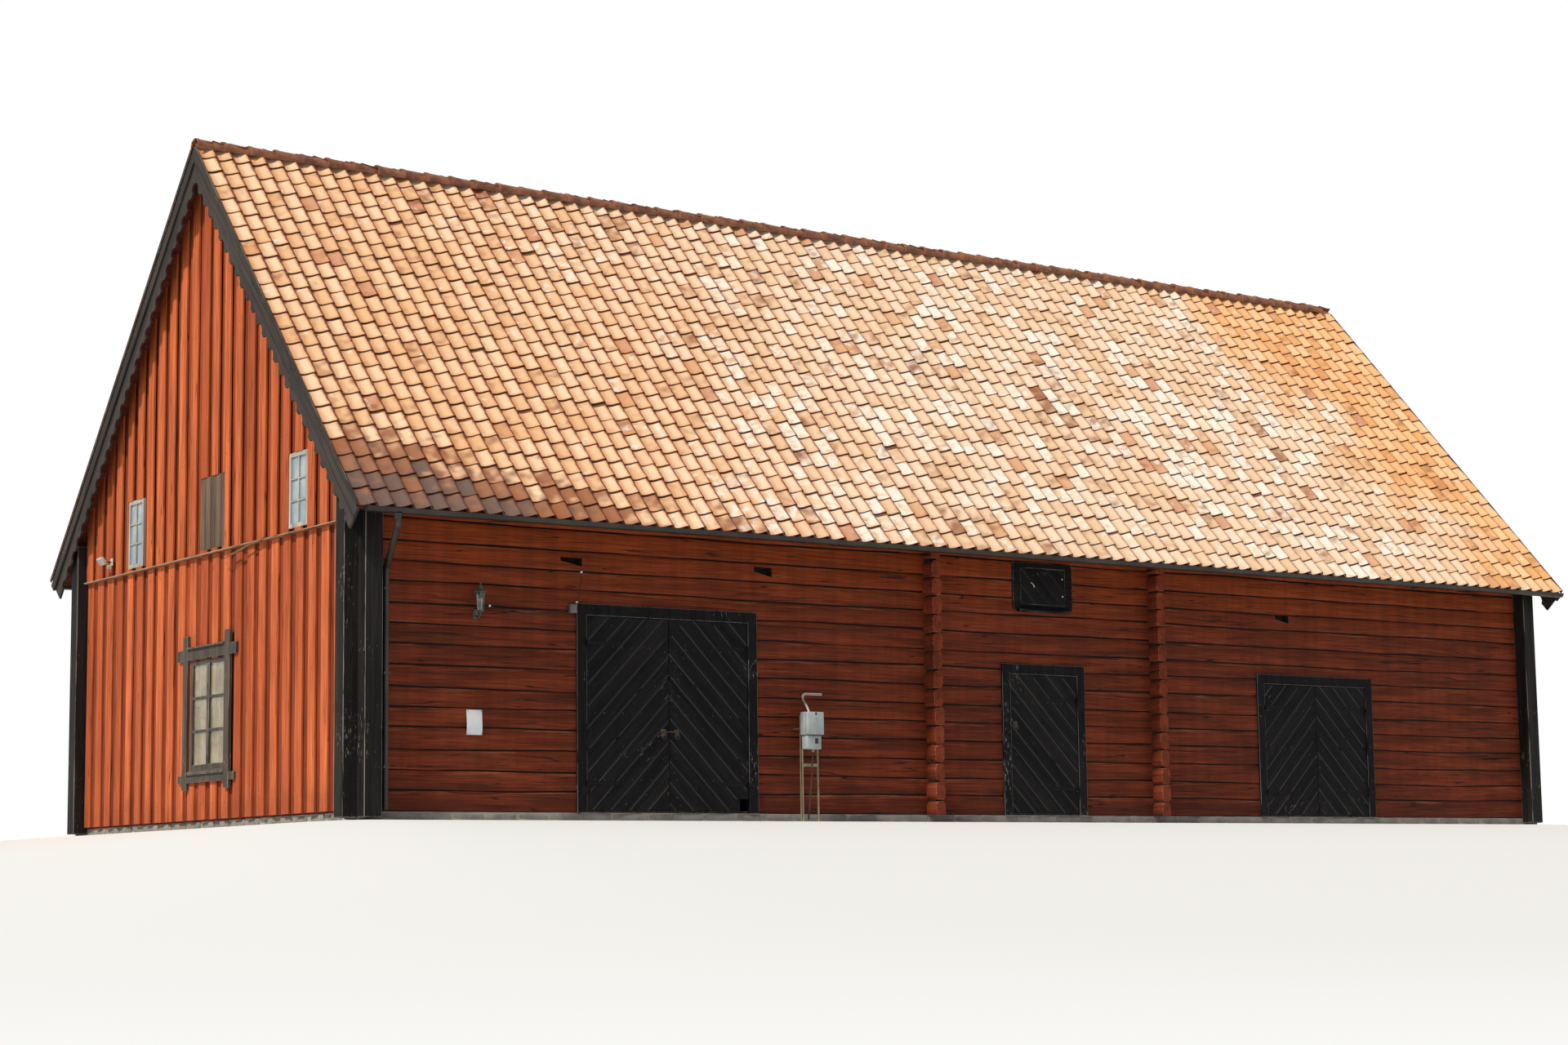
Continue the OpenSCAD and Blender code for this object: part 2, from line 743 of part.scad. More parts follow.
// Door leaves: boards on three ledges
ledge_inset = 60;
function leaf_top(d) = clear_top(d) - leaf_gap;
module leaf(d, x0, x1) {
    back = leaf_face + leaf_thickness;
    height = leaf_top(d) - leaf_bottom;
    block(x0, x1, leaf_face, back, leaf_bottom, leaf_top(d));
    for (z = [leaf_bottom + strap_inset, leaf_top(d) - strap_inset, leaf_bottom + height / 2])
        block(x0 + ledge_inset, x1 - ledge_inset, back, back + ledge_thickness,
            z - ledge_height / 2, z + ledge_height / 2);
}
module door_1_left_leaf() {
    color(tar_black) leaf(door_1, door_left(door_1) + leaf_gap, door_1[0] - meeting_gap / 2);
}
module door_1_right_leaf() {
    color(tar_black) difference() {
        leaf(door_1, door_1[0] + meeting_gap / 2, door_right(door_1) - leaf_gap);
        block(door_right(door_1) - leaf_gap - broken_corner[0], door_right(door_1), leaf_face - 1,
            leaf_face + leaf_thickness + 1, leaf_bottom - 1, leaf_bottom + broken_corner[1]);
    }
}
module door_2_leaf() {
    color(tar_black) leaf(door_2, door_left(door_2) + leaf_gap, door_right(door_2) - leaf_gap);
}
module door_3_left_leaf() {
    color(tar_black) leaf(door_3, door_left(door_3) + leaf_gap, door_3[0] - meeting_gap / 2);
}
module door_3_right_leaf() {
    color(tar_black) leaf(door_3, door_3[0] + meeting_gap / 2, door_right(door_3) - leaf_gap);
}

// Strap hinges: an eye round the pin, a knee and a long flat strap.
// side is 1 where the leaf reaches towards +X from its pin, and -1 where it reaches towards -X.
knee_inside = 4;
knee_outside = 16;
module strap(x, side, z) {
    knee = [eye_radius - knee_inside, eye_radius + knee_outside];
    translate([x, pin_y, z - strap_height / 2]) mirror([side > 0 ? 0 : 1, 0, 0]) {
        face = leaf_face - pin_y;
        difference() {
            union() {
                cylinder(r = eye_radius, h = strap_height);
                block(0, knee[1], -strap_thickness, 0, 0, strap_height);
                block(knee[0], knee[1], -strap_thickness, face, 0, strap_height);
                block(knee[0], strap_length, face - strap_thickness, face, 0, strap_height);
            }
            translate([0, 0, -1]) cylinder(r = pin_radius + pin_clearance, h = strap_height + 2);
        }
    }
}
module straps(d, x, side) {
    for (z = [leaf_bottom + strap_inset, leaf_top(d) - strap_inset]) strap(x, side, z);
}
ring_plate = [70, 8, 90];
boss_radius = 16;
boss_reach = 14;
ring_inset = [90, 110];
latch_inset = 70;
latch_rise = 230;
module ring_plate_at(x, z) {
    // A plate with a raised boss, flat on the face of a leaf
    block(x - ring_plate[0] / 2, x + ring_plate[0] / 2, leaf_face - ring_plate[1], leaf_face,
        z - ring_plate[2] / 2, z + ring_plate[2] / 2);
    translate([x, leaf_face - ring_plate[1], z]) rotate([90, 0, 0])
        cylinder(r = boss_radius, h = boss_reach);
}
latch_z = footing_height + latch_height;
module door_1_left_straps() {
    color("#3a2a22") {
        straps(door_1, door_left(door_1), 1);
        ring_plate_at(door_1[0] - ring_inset[0], latch_z);
    }
}
module door_1_right_straps() {
    color("#3a2a22") {
        straps(door_1, door_right(door_1), -1);
        ring_plate_at(door_1[0] + ring_inset[1], latch_z);
    }
}
module door_2_straps() {
    color("#3a2a22") {
        straps(door_2, door_right(door_2), -1);
        ring_plate_at(door_left(door_2) + latch_inset, latch_z + latch_rise);
    }
}
module door_3_left_straps() {
    color("#3a2a22") straps(door_3, door_left(door_3), 1);
}
module door_3_right_straps() {
    color("#3a2a22") straps(door_3, door_right(door_3), -1);
}

// Hinge pins: a pin, an arm under the eye and a plate on the casing
pin_plate = [70, 5, 110];
pin_arm = 14;
module hinge_pin(x, side, z) {
    low = -strap_height / 2 - eye_gap;
    casing_face = door_faces - casing_thickness - pin_y;
    translate([x, pin_y, z]) mirror([side > 0 ? 0 : 1, 0, 0]) {
        translate([0, 0, low - pin_arm]) cylinder(r = pin_radius, h = strap_height + pin_arm + 2 * eye_gap);
        block(-pin_radius, 0, 0, casing_face, low - pin_arm, low);
        block(-pin_radius - pin_plate[0], 0, casing_face - pin_plate[1], casing_face,
            low - pin_plate[2], low);
    }
}
module pins(d, x, side) {
    for (z = [leaf_bottom + strap_inset, leaf_top(d) - strap_inset]) hinge_pin(x, side, z);
}
module hinge_pins() {
    color("#3a2a22") {
        pins(door_1, door_left(door_1), 1);
        pins(door_1, door_right(door_1), -1);
        pins(door_2, door_right(door_2), -1);
        pins(door_3, door_left(door_3), 1);
        pins(door_3, door_right(door_3), -1);
    }
}

// Hatch over the single door, shut: flat boards round it, a sloped sill and a leaf
hatch_end_trim = 75;
hatch_sill_past = 60;
hatch_sill_drop = 110;
hatch_sill_reach = 90;
hatch_sill_edge = 25;
module wall_hatch() {
    sill_half = hatch_width / 2 + hatch_sill_past;
    nose = door_faces - hatch_sill_reach;
    low = hatch_sill - hatch_sill_drop;
    color(tar_black) {
        along_y(door_faces - casing_thickness, door_faces) difference() {
            hatch_outline(hatch_trim, hatch_end_trim);
            hatch_outline(0, 0);
        }
        along_x(hatch_x - sill_half, hatch_x + sill_half) polygon([
            [door_faces, low], [nose, low], [nose, low + hatch_sill_edge], [door_faces, hatch_sill]]);
        along_y(door_faces - casing_thickness + leaf_recess, door_faces + leaf_thickness) hatch_outline(0, 0);
    }
}
loft_hatch_recess = 15;
loft_hatch_inside = 20;
module loft_hatches() {
    sill = drip_top + high_window_sill;
    color("#6f6a63") both_ends()
        along_x(-half_length - upper_clad + loft_hatch_recess, -half_length - loft_hatch_inside)
            translate([loft_hatch_y - loft_hatch_width / 2, sill])
                square([loft_hatch_width, loft_hatch_height]);
}

// Windows
module window_ring(w, h, y, z) {
    translate([y, z]) difference() {
        square([w, h], center = true);
        square([w - 2 * sash_width, h - 2 * sash_width], center = true);
    }
}
low_window_mid = low_window_sill + low_window_height / 2;
clad_face = -half_length - lower_clad;
trim_inner = low_window_width / 2 + trim_reveal;
sill_height = 75;
low_trim_width = 100;
upright_proud = 6;
head_gap = 15;
cap_height = 20;
cap_reach = 30;
sill_reach = 60;
sill_edge = 25;
sill_slack = 3;
low_window_proud = 5;
low_glass_setback = 15;
module band(width, z0, z1) {
    translate([-width / 2, z0]) square([width, z1 - z0]);
}
module lapped_boards() {
    // Two uprights and two cross boards that pass each other at the corners
    low = low_window_sill - sill_height;
    top = low_window_sill + low_window_height;
    far = trim_inner + trim_width;
    for (s = [-1, 1]) along_x(clad_face - trim_thickness - upright_proud, clad_face)
        translate([low_window_y + s * (trim_inner + trim_width / 2), 0])
            band(trim_width, low - low_trim_width - trim_lap / 2, top + trim_width + trim_lap);
    along_x(clad_face - trim_thickness, clad_face) translate([low_window_y, 0]) {
        band(2 * far + 2 * trim_lap, top + head_gap, top + head_gap + trim_width);
        band(2 * far + 1.5 * trim_lap, low - low_trim_width, low);
    }
    // A thin drip board over the head and a sloped sill
    head_top = top + head_gap + trim_width;
    along_x(clad_face - trim_thickness - cap_reach, clad_face) translate([low_window_y, 0])
        band(2 * trim_inner, head_top, head_top + cap_height);
    along_y(low_window_y - trim_inner, low_window_y + trim_inner) polygon([
        [clad_face, low], [clad_face - sill_reach, low], [clad_face - sill_reach, low + sill_edge],
        [clad_face, low_window_sill - sill_slack]]);
}
module lower_windows() {
    color("#5c554e") both_ends() {
        along_x(clad_face - low_window_proud, clad_face + sash_depth)
            window_ring(low_window_width, low_window_height, low_window_y, low_window_mid);
        lapped_boards();
    }
}
module lower_glass() {
    front = clad_face + low_glass_setback;
    color("#c2b48c") both_ends() along_x(front, front + glass_thickness)
        translate([low_window_y, low_window_mid])
            square([low_window_width - 2 * sash_width, low_window_height - 2 * sash_width], center = true);
}
upper_face = -half_length - upper_clad;
high_window_setback = 10;
high_glass_setback = 30;
high_window_mid = drip_top + high_window_sill + high_window_height / 2;
module upper_windows() {
    front = upper_face + high_window_setback;
    color("#b9bcbc") both_ends() along_x(front, front + sash_depth)
        for (y = high_window_ys)
            window_ring(high_window_width, high_window_height, y, high_window_mid);
}
module upper_glass() {
    front = upper_face + high_glass_setback;
    color("#aebfca") both_ends() along_x(front, front + glass_thickness)
        for (y = high_window_ys) translate([y, high_window_mid])
            square([high_window_width - 2 * sash_width, high_window_height - 2 * sash_width], center = true);
}

// Lantern: a six-sided cage that widens upward, a flared hat with a finial, and an arm on a wall plate
lantern_x = lantern_from_left - half_length;
lantern_y = door_faces - lantern_reach;
cage_rise = 90;
cage_bottom = lantern_bottom + cage_rise;
cage_foot = 38;
cage_head = 58;
cage_bar = 5;
cage_plate = 10;
hat_reach = 84;
hat_rise = 72;
hat_edge = 8;
hat_neck = 20;
hat_steps = 6;
stem_radius = 8;
arm_radius = 10;
finial_radius = 15;
lantern_plate = [70, 14, 130];
module lantern_cage(height) {
    cylinder(r = cage_foot + 2 * cage_bar, h = cage_plate);
    translate([0, 0, height - cage_plate]) cylinder(r = cage_head + 2 * cage_bar, h = cage_plate);
    for (turn = [0:60:300]) rotate(turn)
        rod([cage_foot, 0, cage_plate / 2], [cage_head, 0, height - cage_plate / 2], cage_bar);
}
module lantern_hat() {
    // A flared roof: its slope steepens in steps from the edge to the neck
    slope = hat_rise - hat_edge;
    rotate_extrude() polygon(concat(
        [[0, 0], [hat_reach, 0]],
        [for (i = [0:hat_steps]) let (turn = 90 * i / hat_steps)
            [hat_reach - (hat_reach - hat_neck) * sin(turn), hat_rise - slope * cos(turn)]],
        [[0, hat_rise]]));
}
module wall_lantern() {
    top = lantern_bottom + lantern_height;
    hat_foot = top - hat_rise - 4 * finial_radius;
    plate_middle = lantern_bottom + lantern_plate[2] / 2;
    color("#4f6a5e") {
        translate([lantern_x, lantern_y, cage_bottom]) lantern_cage(hat_foot - cage_bottom);
        translate([lantern_x, lantern_y, hat_foot]) lantern_hat();
        translate([lantern_x, lantern_y, hat_foot + hat_rise]) {
            cylinder(r = stem_radius, h = 3 * finial_radius);
            translate([0, 0, 3 * finial_radius]) sphere(finial_radius);
        }
        translate([lantern_x, lantern_y, cage_bottom - 2 * finial_radius]) {
            sphere(finial_radius);
            cylinder(r = stem_radius, h = 2 * finial_radius);
        }
        rod([lantern_x, lantern_y, cage_bottom - 2 * finial_radius], [lantern_x, door_faces - 1, plate_middle],
            arm_radius);
        block(lantern_x - lantern_plate[0] / 2, lantern_x + lantern_plate[0] / 2,
            door_faces - lantern_plate[1], door_faces, lantern_bottom, lantern_bottom + lantern_plate[2]);
    }
}

// Meter cabinet: two boxes on two legs, tied to each other by rungs and to the wall by stays
meter_x = meter_from_left - half_length;
meter_back = door_faces - meter_gap;
leg_size = 30;
leg_inset = 25;
leg_shortfall = 40;
rung_levels = [700, 1250];
rung_height = 40;
stay_level = 1180;
stay_height = 20;
stay_width = 12;
meter_height = 300;
meter_depth = 170;
low_box_inset = 22.5;
low_box_depth = 130;
low_box_height = 180;
module meter_cabinet() {
    front = meter_back - leg_size;
    leg_x = meter_width / 2 - leg_inset;
    low_half = meter_width / 2 - low_box_inset;
    color("#a9adab") translate([meter_x, 0, 0]) {
        both_ends() {
            block(-leg_x - leg_size / 2, -leg_x + leg_size / 2, front, meter_back,
                0, meter_top - leg_shortfall);
            block(-leg_x - stay_width / 2, -leg_x + stay_width / 2, meter_back, door_faces,
                stay_level, stay_level + stay_height);
        }
        for (z = rung_levels)
            block(-leg_x + leg_size / 2, leg_x - leg_size / 2, front, meter_back, z, z + rung_height);
        block(-meter_width / 2, meter_width / 2, front - meter_depth, front,
            meter_top - meter_height, meter_top);
        block(-low_half, low_half, front - low_box_depth, front,
            meter_top - meter_height - low_box_height, meter_top - meter_height);
    }
}

// Floodlight on the left gable: a wall plate, an arm and a tilted head
flood_y = half_width - flood_from_back;
flood_z = drip_top + flood_rise;
flood_reach = 120;
flood_box = [60, 150, 110];
flood_tilt = 35;
flood_arm = 10;
flood_arm_rise = 10;
flood_plate = [14, 80, 100];
module floodlight() {
    arm_start = [upper_face - flood_plate[0] / 2, flood_y, flood_z - flood_arm_rise / 2];
    arm_end = [upper_face - flood_reach, flood_y, flood_z + flood_arm_rise / 2];
    color("#565a5c") {
        translate([upper_face - flood_plate[0], flood_y - flood_plate[1] / 2, flood_z - flood_plate[2] / 2])
            cube(flood_plate);
        rod(arm_start, arm_end, flood_arm);
        translate(arm_end - [flood_box[0] / 2, 0, 0]) rotate([0, flood_tilt, 0])
            cube(flood_box, center = true);
    }
}

stone_footing();
front_wall_piers();
front_wall_over_doors();
back_wall();
gable_log_walls();
log_end_columns();
corner_boards();
lower_cladding();
upper_cladding();
drip_boards();
loft_beams();
loft_floors();
front_rafters();
back_rafters();
front_roof_boards();
back_roof_boards();
front_tiles();
back_tiles();
ridge_tiles();
front_bargeboards();
back_bargeboards();
gutters();
downspouts();
door_frames();
hinge_pins();
door_1_left_leaf();
door_1_right_leaf();
door_2_leaf();
door_3_left_leaf();
door_3_right_leaf();
door_1_left_straps();
door_1_right_straps();
door_2_straps();
door_3_left_straps();
door_3_right_straps();
wall_hatch();
loft_hatches();
lower_windows();
lower_glass();
upper_windows();
upper_glass();
wall_lantern();
meter_cabinet();
floodlight();
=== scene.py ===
# %% [markdown]
# # A red log barn, dressed on its fixed frame
# The frame brings the barn's solids in metres: X runs along the barn, Y runs into it from the door
# side and Z is up. This lesson gives every solid a finish, and adds what repeats: tiles, boards, logs'
# rough faces, window bars and nails. Each step says what the real thing is before it is made.

# %% Load the fixed frame
import math
import random
import bmesh
import bpy
import numpy as np
from mathutils import Matrix, Vector


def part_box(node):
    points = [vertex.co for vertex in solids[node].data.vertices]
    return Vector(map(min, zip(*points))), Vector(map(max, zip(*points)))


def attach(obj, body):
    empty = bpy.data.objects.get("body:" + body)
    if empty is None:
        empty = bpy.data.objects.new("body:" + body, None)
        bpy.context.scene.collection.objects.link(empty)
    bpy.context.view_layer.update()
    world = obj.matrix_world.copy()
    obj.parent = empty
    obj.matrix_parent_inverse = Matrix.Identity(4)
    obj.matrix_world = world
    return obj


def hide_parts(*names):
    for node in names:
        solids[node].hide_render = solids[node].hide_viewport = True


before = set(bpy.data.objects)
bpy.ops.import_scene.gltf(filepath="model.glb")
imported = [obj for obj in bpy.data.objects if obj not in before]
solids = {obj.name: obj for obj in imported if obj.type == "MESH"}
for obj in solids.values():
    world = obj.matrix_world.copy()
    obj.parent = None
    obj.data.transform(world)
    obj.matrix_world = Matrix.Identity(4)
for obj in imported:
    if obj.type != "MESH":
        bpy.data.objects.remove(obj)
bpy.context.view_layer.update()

# %% [markdown]
# ## The camera
# The view comes from a fit to the ridge, the gutter, the log corners and the doorways. It stands to the
# left of the door side, a little lower than the foot of the wall, and looks slightly upward, so a lens
# of 66 mm takes in the whole barn without any shift.

# %% Camera at the fitted place
def new_object(name, data):
    made = bpy.data.objects.new(name, data)
    bpy.context.scene.collection.objects.link(made)
    return made


yaw, tilt, roll = (math.radians(a) for a in (35.224, 7.327, -0.743))
camera_place, lens, far_clip = (-25.456, -34.526, -0.889), 65.91, 900
ahead = Vector((math.sin(yaw) * math.cos(tilt), math.cos(yaw) * math.cos(tilt), math.sin(tilt)))
level_side = ahead.cross(Vector((0, 0, 1))).normalized()
level_up = level_side.cross(ahead)
view_side = math.cos(roll) * level_side + math.sin(roll) * level_up
view_up = math.cos(roll) * level_up - math.sin(roll) * level_side
camera = new_object("camera", bpy.data.cameras.new("camera"))
camera.data.lens, camera.data.clip_end = lens, far_clip
turn = Matrix((view_side, view_up, -ahead)).transposed().to_4x4()
camera.matrix_world = Matrix.Translation(camera_place) @ turn
bpy.context.scene.camera = camera
bpy.context.scene.view_settings.view_transform = "Standard"
print("camera looks along", [round(v, 3) for v in ahead])

# %% [markdown]
# ## Small helpers for node trees
# Shader trees and geometry trees are both boxes joined by wires. One helper adds a box to the tree that
# is open and feeds its sockets, so that a tree reads like a list of steps. A wire adds, subtracts and
# multiplies like a number, and each sign puts one Math box into the tree. Colours are written as the hex
# a painter would read off a swatch, and turned to the linear values that Blender mixes.

# %% Helpers that add a node and feed its sockets
class Wire:
    """One output of a node, which can stand in a sum."""

    def __init__(self, socket):
        self.socket = socket

    def __add__(self, other):
        return calc("ADD", self, other)

    def __radd__(self, other):
        return calc("ADD", other, self)

    def __sub__(self, other):
        return calc("SUBTRACT", self, other)

    def __rsub__(self, other):
        return calc("SUBTRACT", other, self)

    def __mul__(self, other):
        return calc("MULTIPLY", self, other)

    def __truediv__(self, other):
        return calc("DIVIDE", self, other)


def open_tree(new):
    """From here on, step() adds its nodes to this tree."""
    global tree
    tree = new
    return new


def feed(socket, value):
    if isinstance(value, Wire):
        tree.links.new(value.socket, socket)
    elif value is not None:
        socket.default_value = value


def step(kind, feeds=None, out=0, **settings):
    """One node. It gives the wire from one output or, if out is None, all of them by name."""
    node = tree.nodes.new(kind)
    for name, value in settings.items():
        setattr(node, name, value)
    for key, value in (feeds or {}).items():
        for one in value if isinstance(value, list) else [value]:
            feed(node.inputs[key], one)
    return {s.name: Wire(s) for s in node.outputs} if out is None else Wire(node.outputs[out])


def shade(kind, feeds=None, out=0, **settings):
    return step("ShaderNode" + kind, feeds, out, **settings)


def geo(kind, feeds=None, out=0, **settings):
    return step("GeometryNode" + kind, feeds, out, **settings)


def calc(how, a, b=None):
    return shade("Math", {0: a, 1: b}, operation=how)


def most(a, b):
    return calc("MAXIMUM", a, b)


def vector_calc(how, a, b=None, out=0):
    return shade("VectorMath", {0: a, 1: b}, out, operation=how)


def stretched(vector, *shares):
    return vector_calc("MULTIPLY", vector, shares)


def xyz(x=None, y=None, z=None):
    return shade("CombineXYZ", {0: x, 1: y, 2: z})


def parts_of(vector):
    return shade("SeparateXYZ", {0: vector}, None)


def between(value, low, high, to_low=0.0, to_high=1.0, how="SMOOTHSTEP"):
    return shade("MapRange", {0: value, 1: low, 2: high, 3: to_low, 4: to_high}, interpolation_type=how)


def cloud(vector, scale=1.0, detail=2.0, rough=0.5):
    return shade("TexNoise", {"Vector": vector, "Scale": scale, "Detail": detail, "Roughness": rough})


def swatch(code, share=1.0):
    parts = [int(code[i:i + 2], 16) / 255 for i in (0, 2, 4)]
    parts = [v / 12.92 if v < 0.04045 else ((v + 0.055) / 1.055) ** 2.4 for v in parts]
    return tuple(v * share for v in parts) + (1.0,)


def blend(share, *colours, how="MIX"):
    first, second = (swatch(c) if isinstance(c, str) else c for c in colours)
    return shade("Mix", {0: share, 6: first, 7: second}, 2, data_type="RGBA", blend_type=how)


def tinted(colour, code, value, low, high, strength):
    """The colour, mixed towards a second colour by the given strength where the value nears high."""
    return blend(between(value, low, high, 0.0, strength), colour, code)


print("swatch of falu red:", [round(v, 3) for v in swatch("a8432b")])

# %% [markdown]
# ## Floor and light
# The barn stands on a low, smooth, pale rise, so that the camera can stay a little below the foot of the
# wall. The floor turns to the white of the backdrop far from the barn. One soft lamp stands for the low
# sun from the left, and an even pale sky fills the shaded door side.

# %% The pale rise the barn stands on
def floor_height(distance):
    return -1.7 * (1 - math.exp(-((max(distance, 0) / 10) ** 1.5)))


floor_mesh = bpy.data.meshes.new("pale_floor")
rings = [0.01, 0.4, 0.8, 1.3, 2, 3, 4, 5.5, 7, 9, 11, 14, 17, 21, 26, 33, 45, 70, 120, 260, 600]
half_x, half_y, level_reach, corner_steps = 10.0, 4.1, 0.3, 24
floor_points, floor_faces = [], []
for distance in rings:
    for corner, (sx, sy) in enumerate([(1, 1), (-1, 1), (-1, -1), (1, -1)]):
        for i in range(corner_steps):
            a = math.radians(90 * corner + 90 * i / (corner_steps - 1))
            floor_points.append((sx * half_x + distance * math.cos(a), sy * half_y + distance * math.sin(a),
                                 floor_height(distance - level_reach)))
around = 4 * corner_steps
for r in range(len(rings) - 1):
    for i in range(around):
        j = (i + 1) % around
        floor_faces.append((r * around + i, (r + 1) * around + i, (r + 1) * around + j, r * around + j))
floor_faces.append(tuple(range(around)))
floor_mesh.from_pydata(floor_points, [], floor_faces)
for face in floor_mesh.polygons:
    face.use_smooth = True
new_object("pale_floor", floor_mesh)
print("floor falls to", round(floor_points[-1][2], 2), "m")

# %% Floor finish, sky and lamp
finishes = {}


def fresh_material(name):
    """A new finish, open for its nodes; it gives the place on the object that patterns start from."""
    material = bpy.data.materials.new(name)
    material.use_nodes = True
    open_tree(material.node_tree).nodes.clear()
    finishes[name] = material
    return shade("TexCoord", out="Object")


far = between(vector_calc("LENGTH", fresh_material("pale_floor"), out="Value"), 17.0, 40.0)
to_camera = shade("LightPath", out="Is Camera Ray")
shown = far * to_camera
plain = shade("BsdfDiffuse", {"Color": (0.78, 0.78, 0.77, 1)})
white = shade("Emission", {"Color": (1, 1, 1, 1), "Strength": 1.0})
shade("OutputMaterial", {"Surface": shade("MixShader", {0: shown, 1: plain, 2: white})}, None)
floor_mesh.materials.append(finishes["pale_floor"])

world = bpy.data.worlds.new("pale_sky")
bpy.context.scene.world = world
world.use_nodes = True
open_tree(world.node_tree).nodes.clear()
path = shade("LightPath", out=None)
seen = most(path["Is Camera Ray"], most(path["Is Glossy Ray"], path["Is Transmission Ray"]))
sky = shade("Background", {"Color": (0.86, 0.92, 1.0, 1), "Strength": 0.32})
backdrop = shade("Background", {"Color": (1, 1, 1, 1), "Strength": 1.0})
shade("OutputWorld", {"Surface": shade("MixShader", {0: seen, 1: sky, 2: backdrop})}, None)

sun = new_object("soft_sun", bpy.data.lights.new("soft_sun", "SUN"))
sun.data.energy, sun.data.angle, sun.data.color = 3.5, math.radians(5), (1.0, 0.955, 0.88)
sun.rotation_mode = "QUATERNION"
to_sun = Vector((-0.64, -0.15, 0.755)).normalized()
sun.rotation_quaternion = to_sun.to_track_quat("Z", "Y")
print("sun stands at", round(math.degrees(math.asin(to_sun.z))), "degrees")

# %% [markdown]
# ## Effects that several finishes share
# Wood shows long fibres, soft darker patches, drying cracks and a few knots, all drawn out along the fibre.
# A shader node group makes these masks once. Its Along input is the direction of the fibre, so the
# same group serves logs, upright boards and slanting door boards. Tone is a number that differs from
# board to board and moves the pattern, so that no two boards look alike.

# %% Node group: grain of wood
def new_group(name, inputs, outputs, kind="ShaderNodeTree"):
    """An open tree with named inputs and outputs, and the wires from its inputs."""
    group = open_tree(bpy.data.node_groups.new(name, kind))
    for way, sockets in (("INPUT", inputs), ("OUTPUT", outputs)):
        for label, sort in sockets.items():
            group.interface.new_socket(name=label, in_out=way, socket_type="NodeSocket" + sort)
    return group, step("NodeGroupInput", out=None)


def end_group(**results):
    step("NodeGroupOutput", {label.replace("_", " "): value for label, value in results.items()}, None)
    print(tree.name, "has", len(tree.nodes), "nodes")


def drawn_out(along, across, detail=1.0, rough=0.5):
    return cloud(stretched(laid, along, across, across), 1.0, detail, rough)


def thin_lines(noise, level, width, strength, gate, low, high):
    """Lines where the noise passes a level, only where the gate opens."""
    return between(calc("ABSOLUTE", noise - level), 0.0, width, strength, 0.0) * between(gate, low, high)


wood_grain, given = new_group(
    "wood_grain", {"Place": "Vector", "Along": "Vector", "Across": "Vector", "Tone": "Float"},
    dict.fromkeys(("Fibre", "Patch", "Crack", "Chip", "Height"), "Float"))
tone = given["Tone"]
through = vector_calc("CROSS_PRODUCT", given["Along"], given["Across"])
shifted = vector_calc("ADD", given["Place"], stretched(xyz(tone, tone, tone), 7.3, 3.1, 5.7))
axes = (given["Along"], given["Across"], through)
laid = xyz(*[vector_calc("DOT_PRODUCT", shifted, axis, "Value") for axis in axes])
fine = drawn_out(1.6, 55.0, 4.0, 0.6)
broad = drawn_out(0.55, 7.0, 3.0, 0.55)
wide_split = drawn_out(0.33, 13.0, 1.5, 0.4)
gate = drawn_out(0.5, 3.1)
crack = thin_lines(wide_split, 0.5, 0.013, 1.0, gate, 0.44, 0.54)
fine_split = drawn_out(0.42, 27.0, 1.0, 0.4)
crack = most(crack, thin_lines(fine_split, 0.46, 0.012, 0.8, gate, 0.52, 0.44))
cells = shade("TexVoronoi", {"Vector": stretched(laid, 2.3, 2.9, 2.9)}, None)
few_cells = between(shade("SeparateColor", {0: cells["Color"]}), 0.88, 0.89)
crack = most(crack, between(cells["Distance"], 0.062, 0.045) * few_cells)
chip = drawn_out(12.0, 68.0, 3.0, 0.62)
end_group(Height=fine * 0.35 + broad * 0.5 - crack, Fibre=fine, Patch=broad, Crack=crack, Chip=chip)

# %% [markdown]
# Rain leaves upright streaks, splashes darken the foot of a wall, and old paint comes off in areas, most
# of all low down. The second group makes those masks for any wall; the chips themselves follow the fibre.

# %% Node group: weather on a wall
weather, given = new_group("weather", {"Place": "Vector"},
                           {"Streak": "Float", "Splash": "Float", "Worn Area": "Float"})
place = given["Place"]
streak = cloud(stretched(place, 5.5, 5.5, 0.35), 1.0, 3.0, 0.6)
height = parts_of(place)["Z"]
uneven = cloud(place, 3.0, 3.0) * 0.9
splash = between(height - uneven, 0.25, -0.35)
worn_area = between(cloud(place, 2.0, 2.0), 0.46, 0.74) + 0.10
low_wear = between(height, 1.3, 0.1, 0.0, 0.35)
end_group(Streak=between(streak, 0.35, 0.7), Splash=splash, Worn_Area=worn_area + low_wear)

# %% [markdown]
# ## Painted and bare wood
# All the barn's wood is one recipe: a base colour, a deeper colour in the patches and streaks, dark
# cracks, near-black painted shade in the grooves between logs, an optional warmer painted light towards
# the top of a wall, and a worn colour where paint has flaked or an edge is rubbed. Along the logs' upper
# arrises and the door boards' bevels that pale colour is also a painted highlight. The attribute tone tells
# boards apart, and the wear attribute marks the small bevels on a board's corners and the logs' arrises.

# %% Recipe for wood of any colour
def grouped(group, **feeds):
    return shade("Group", feeds, None, node_tree=group)


def own_value(name):
    return shade("Attribute", out="Fac", attribute_name=name)


def relief(height, strength, distance):
    return shade("Bump", {"Height": height, "Strength": strength, "Distance": distance})


def coat(colour, rough, **more):
    """The end of a finish: one Principled BSDF, wired to the output."""
    feeds = {"Base Color": colour, "Roughness": rough, **{k.replace("_", " "): v for k, v in more.items()}}
    shade("OutputMaterial", {"Surface": shade("BsdfPrincipled", feeds)}, None)


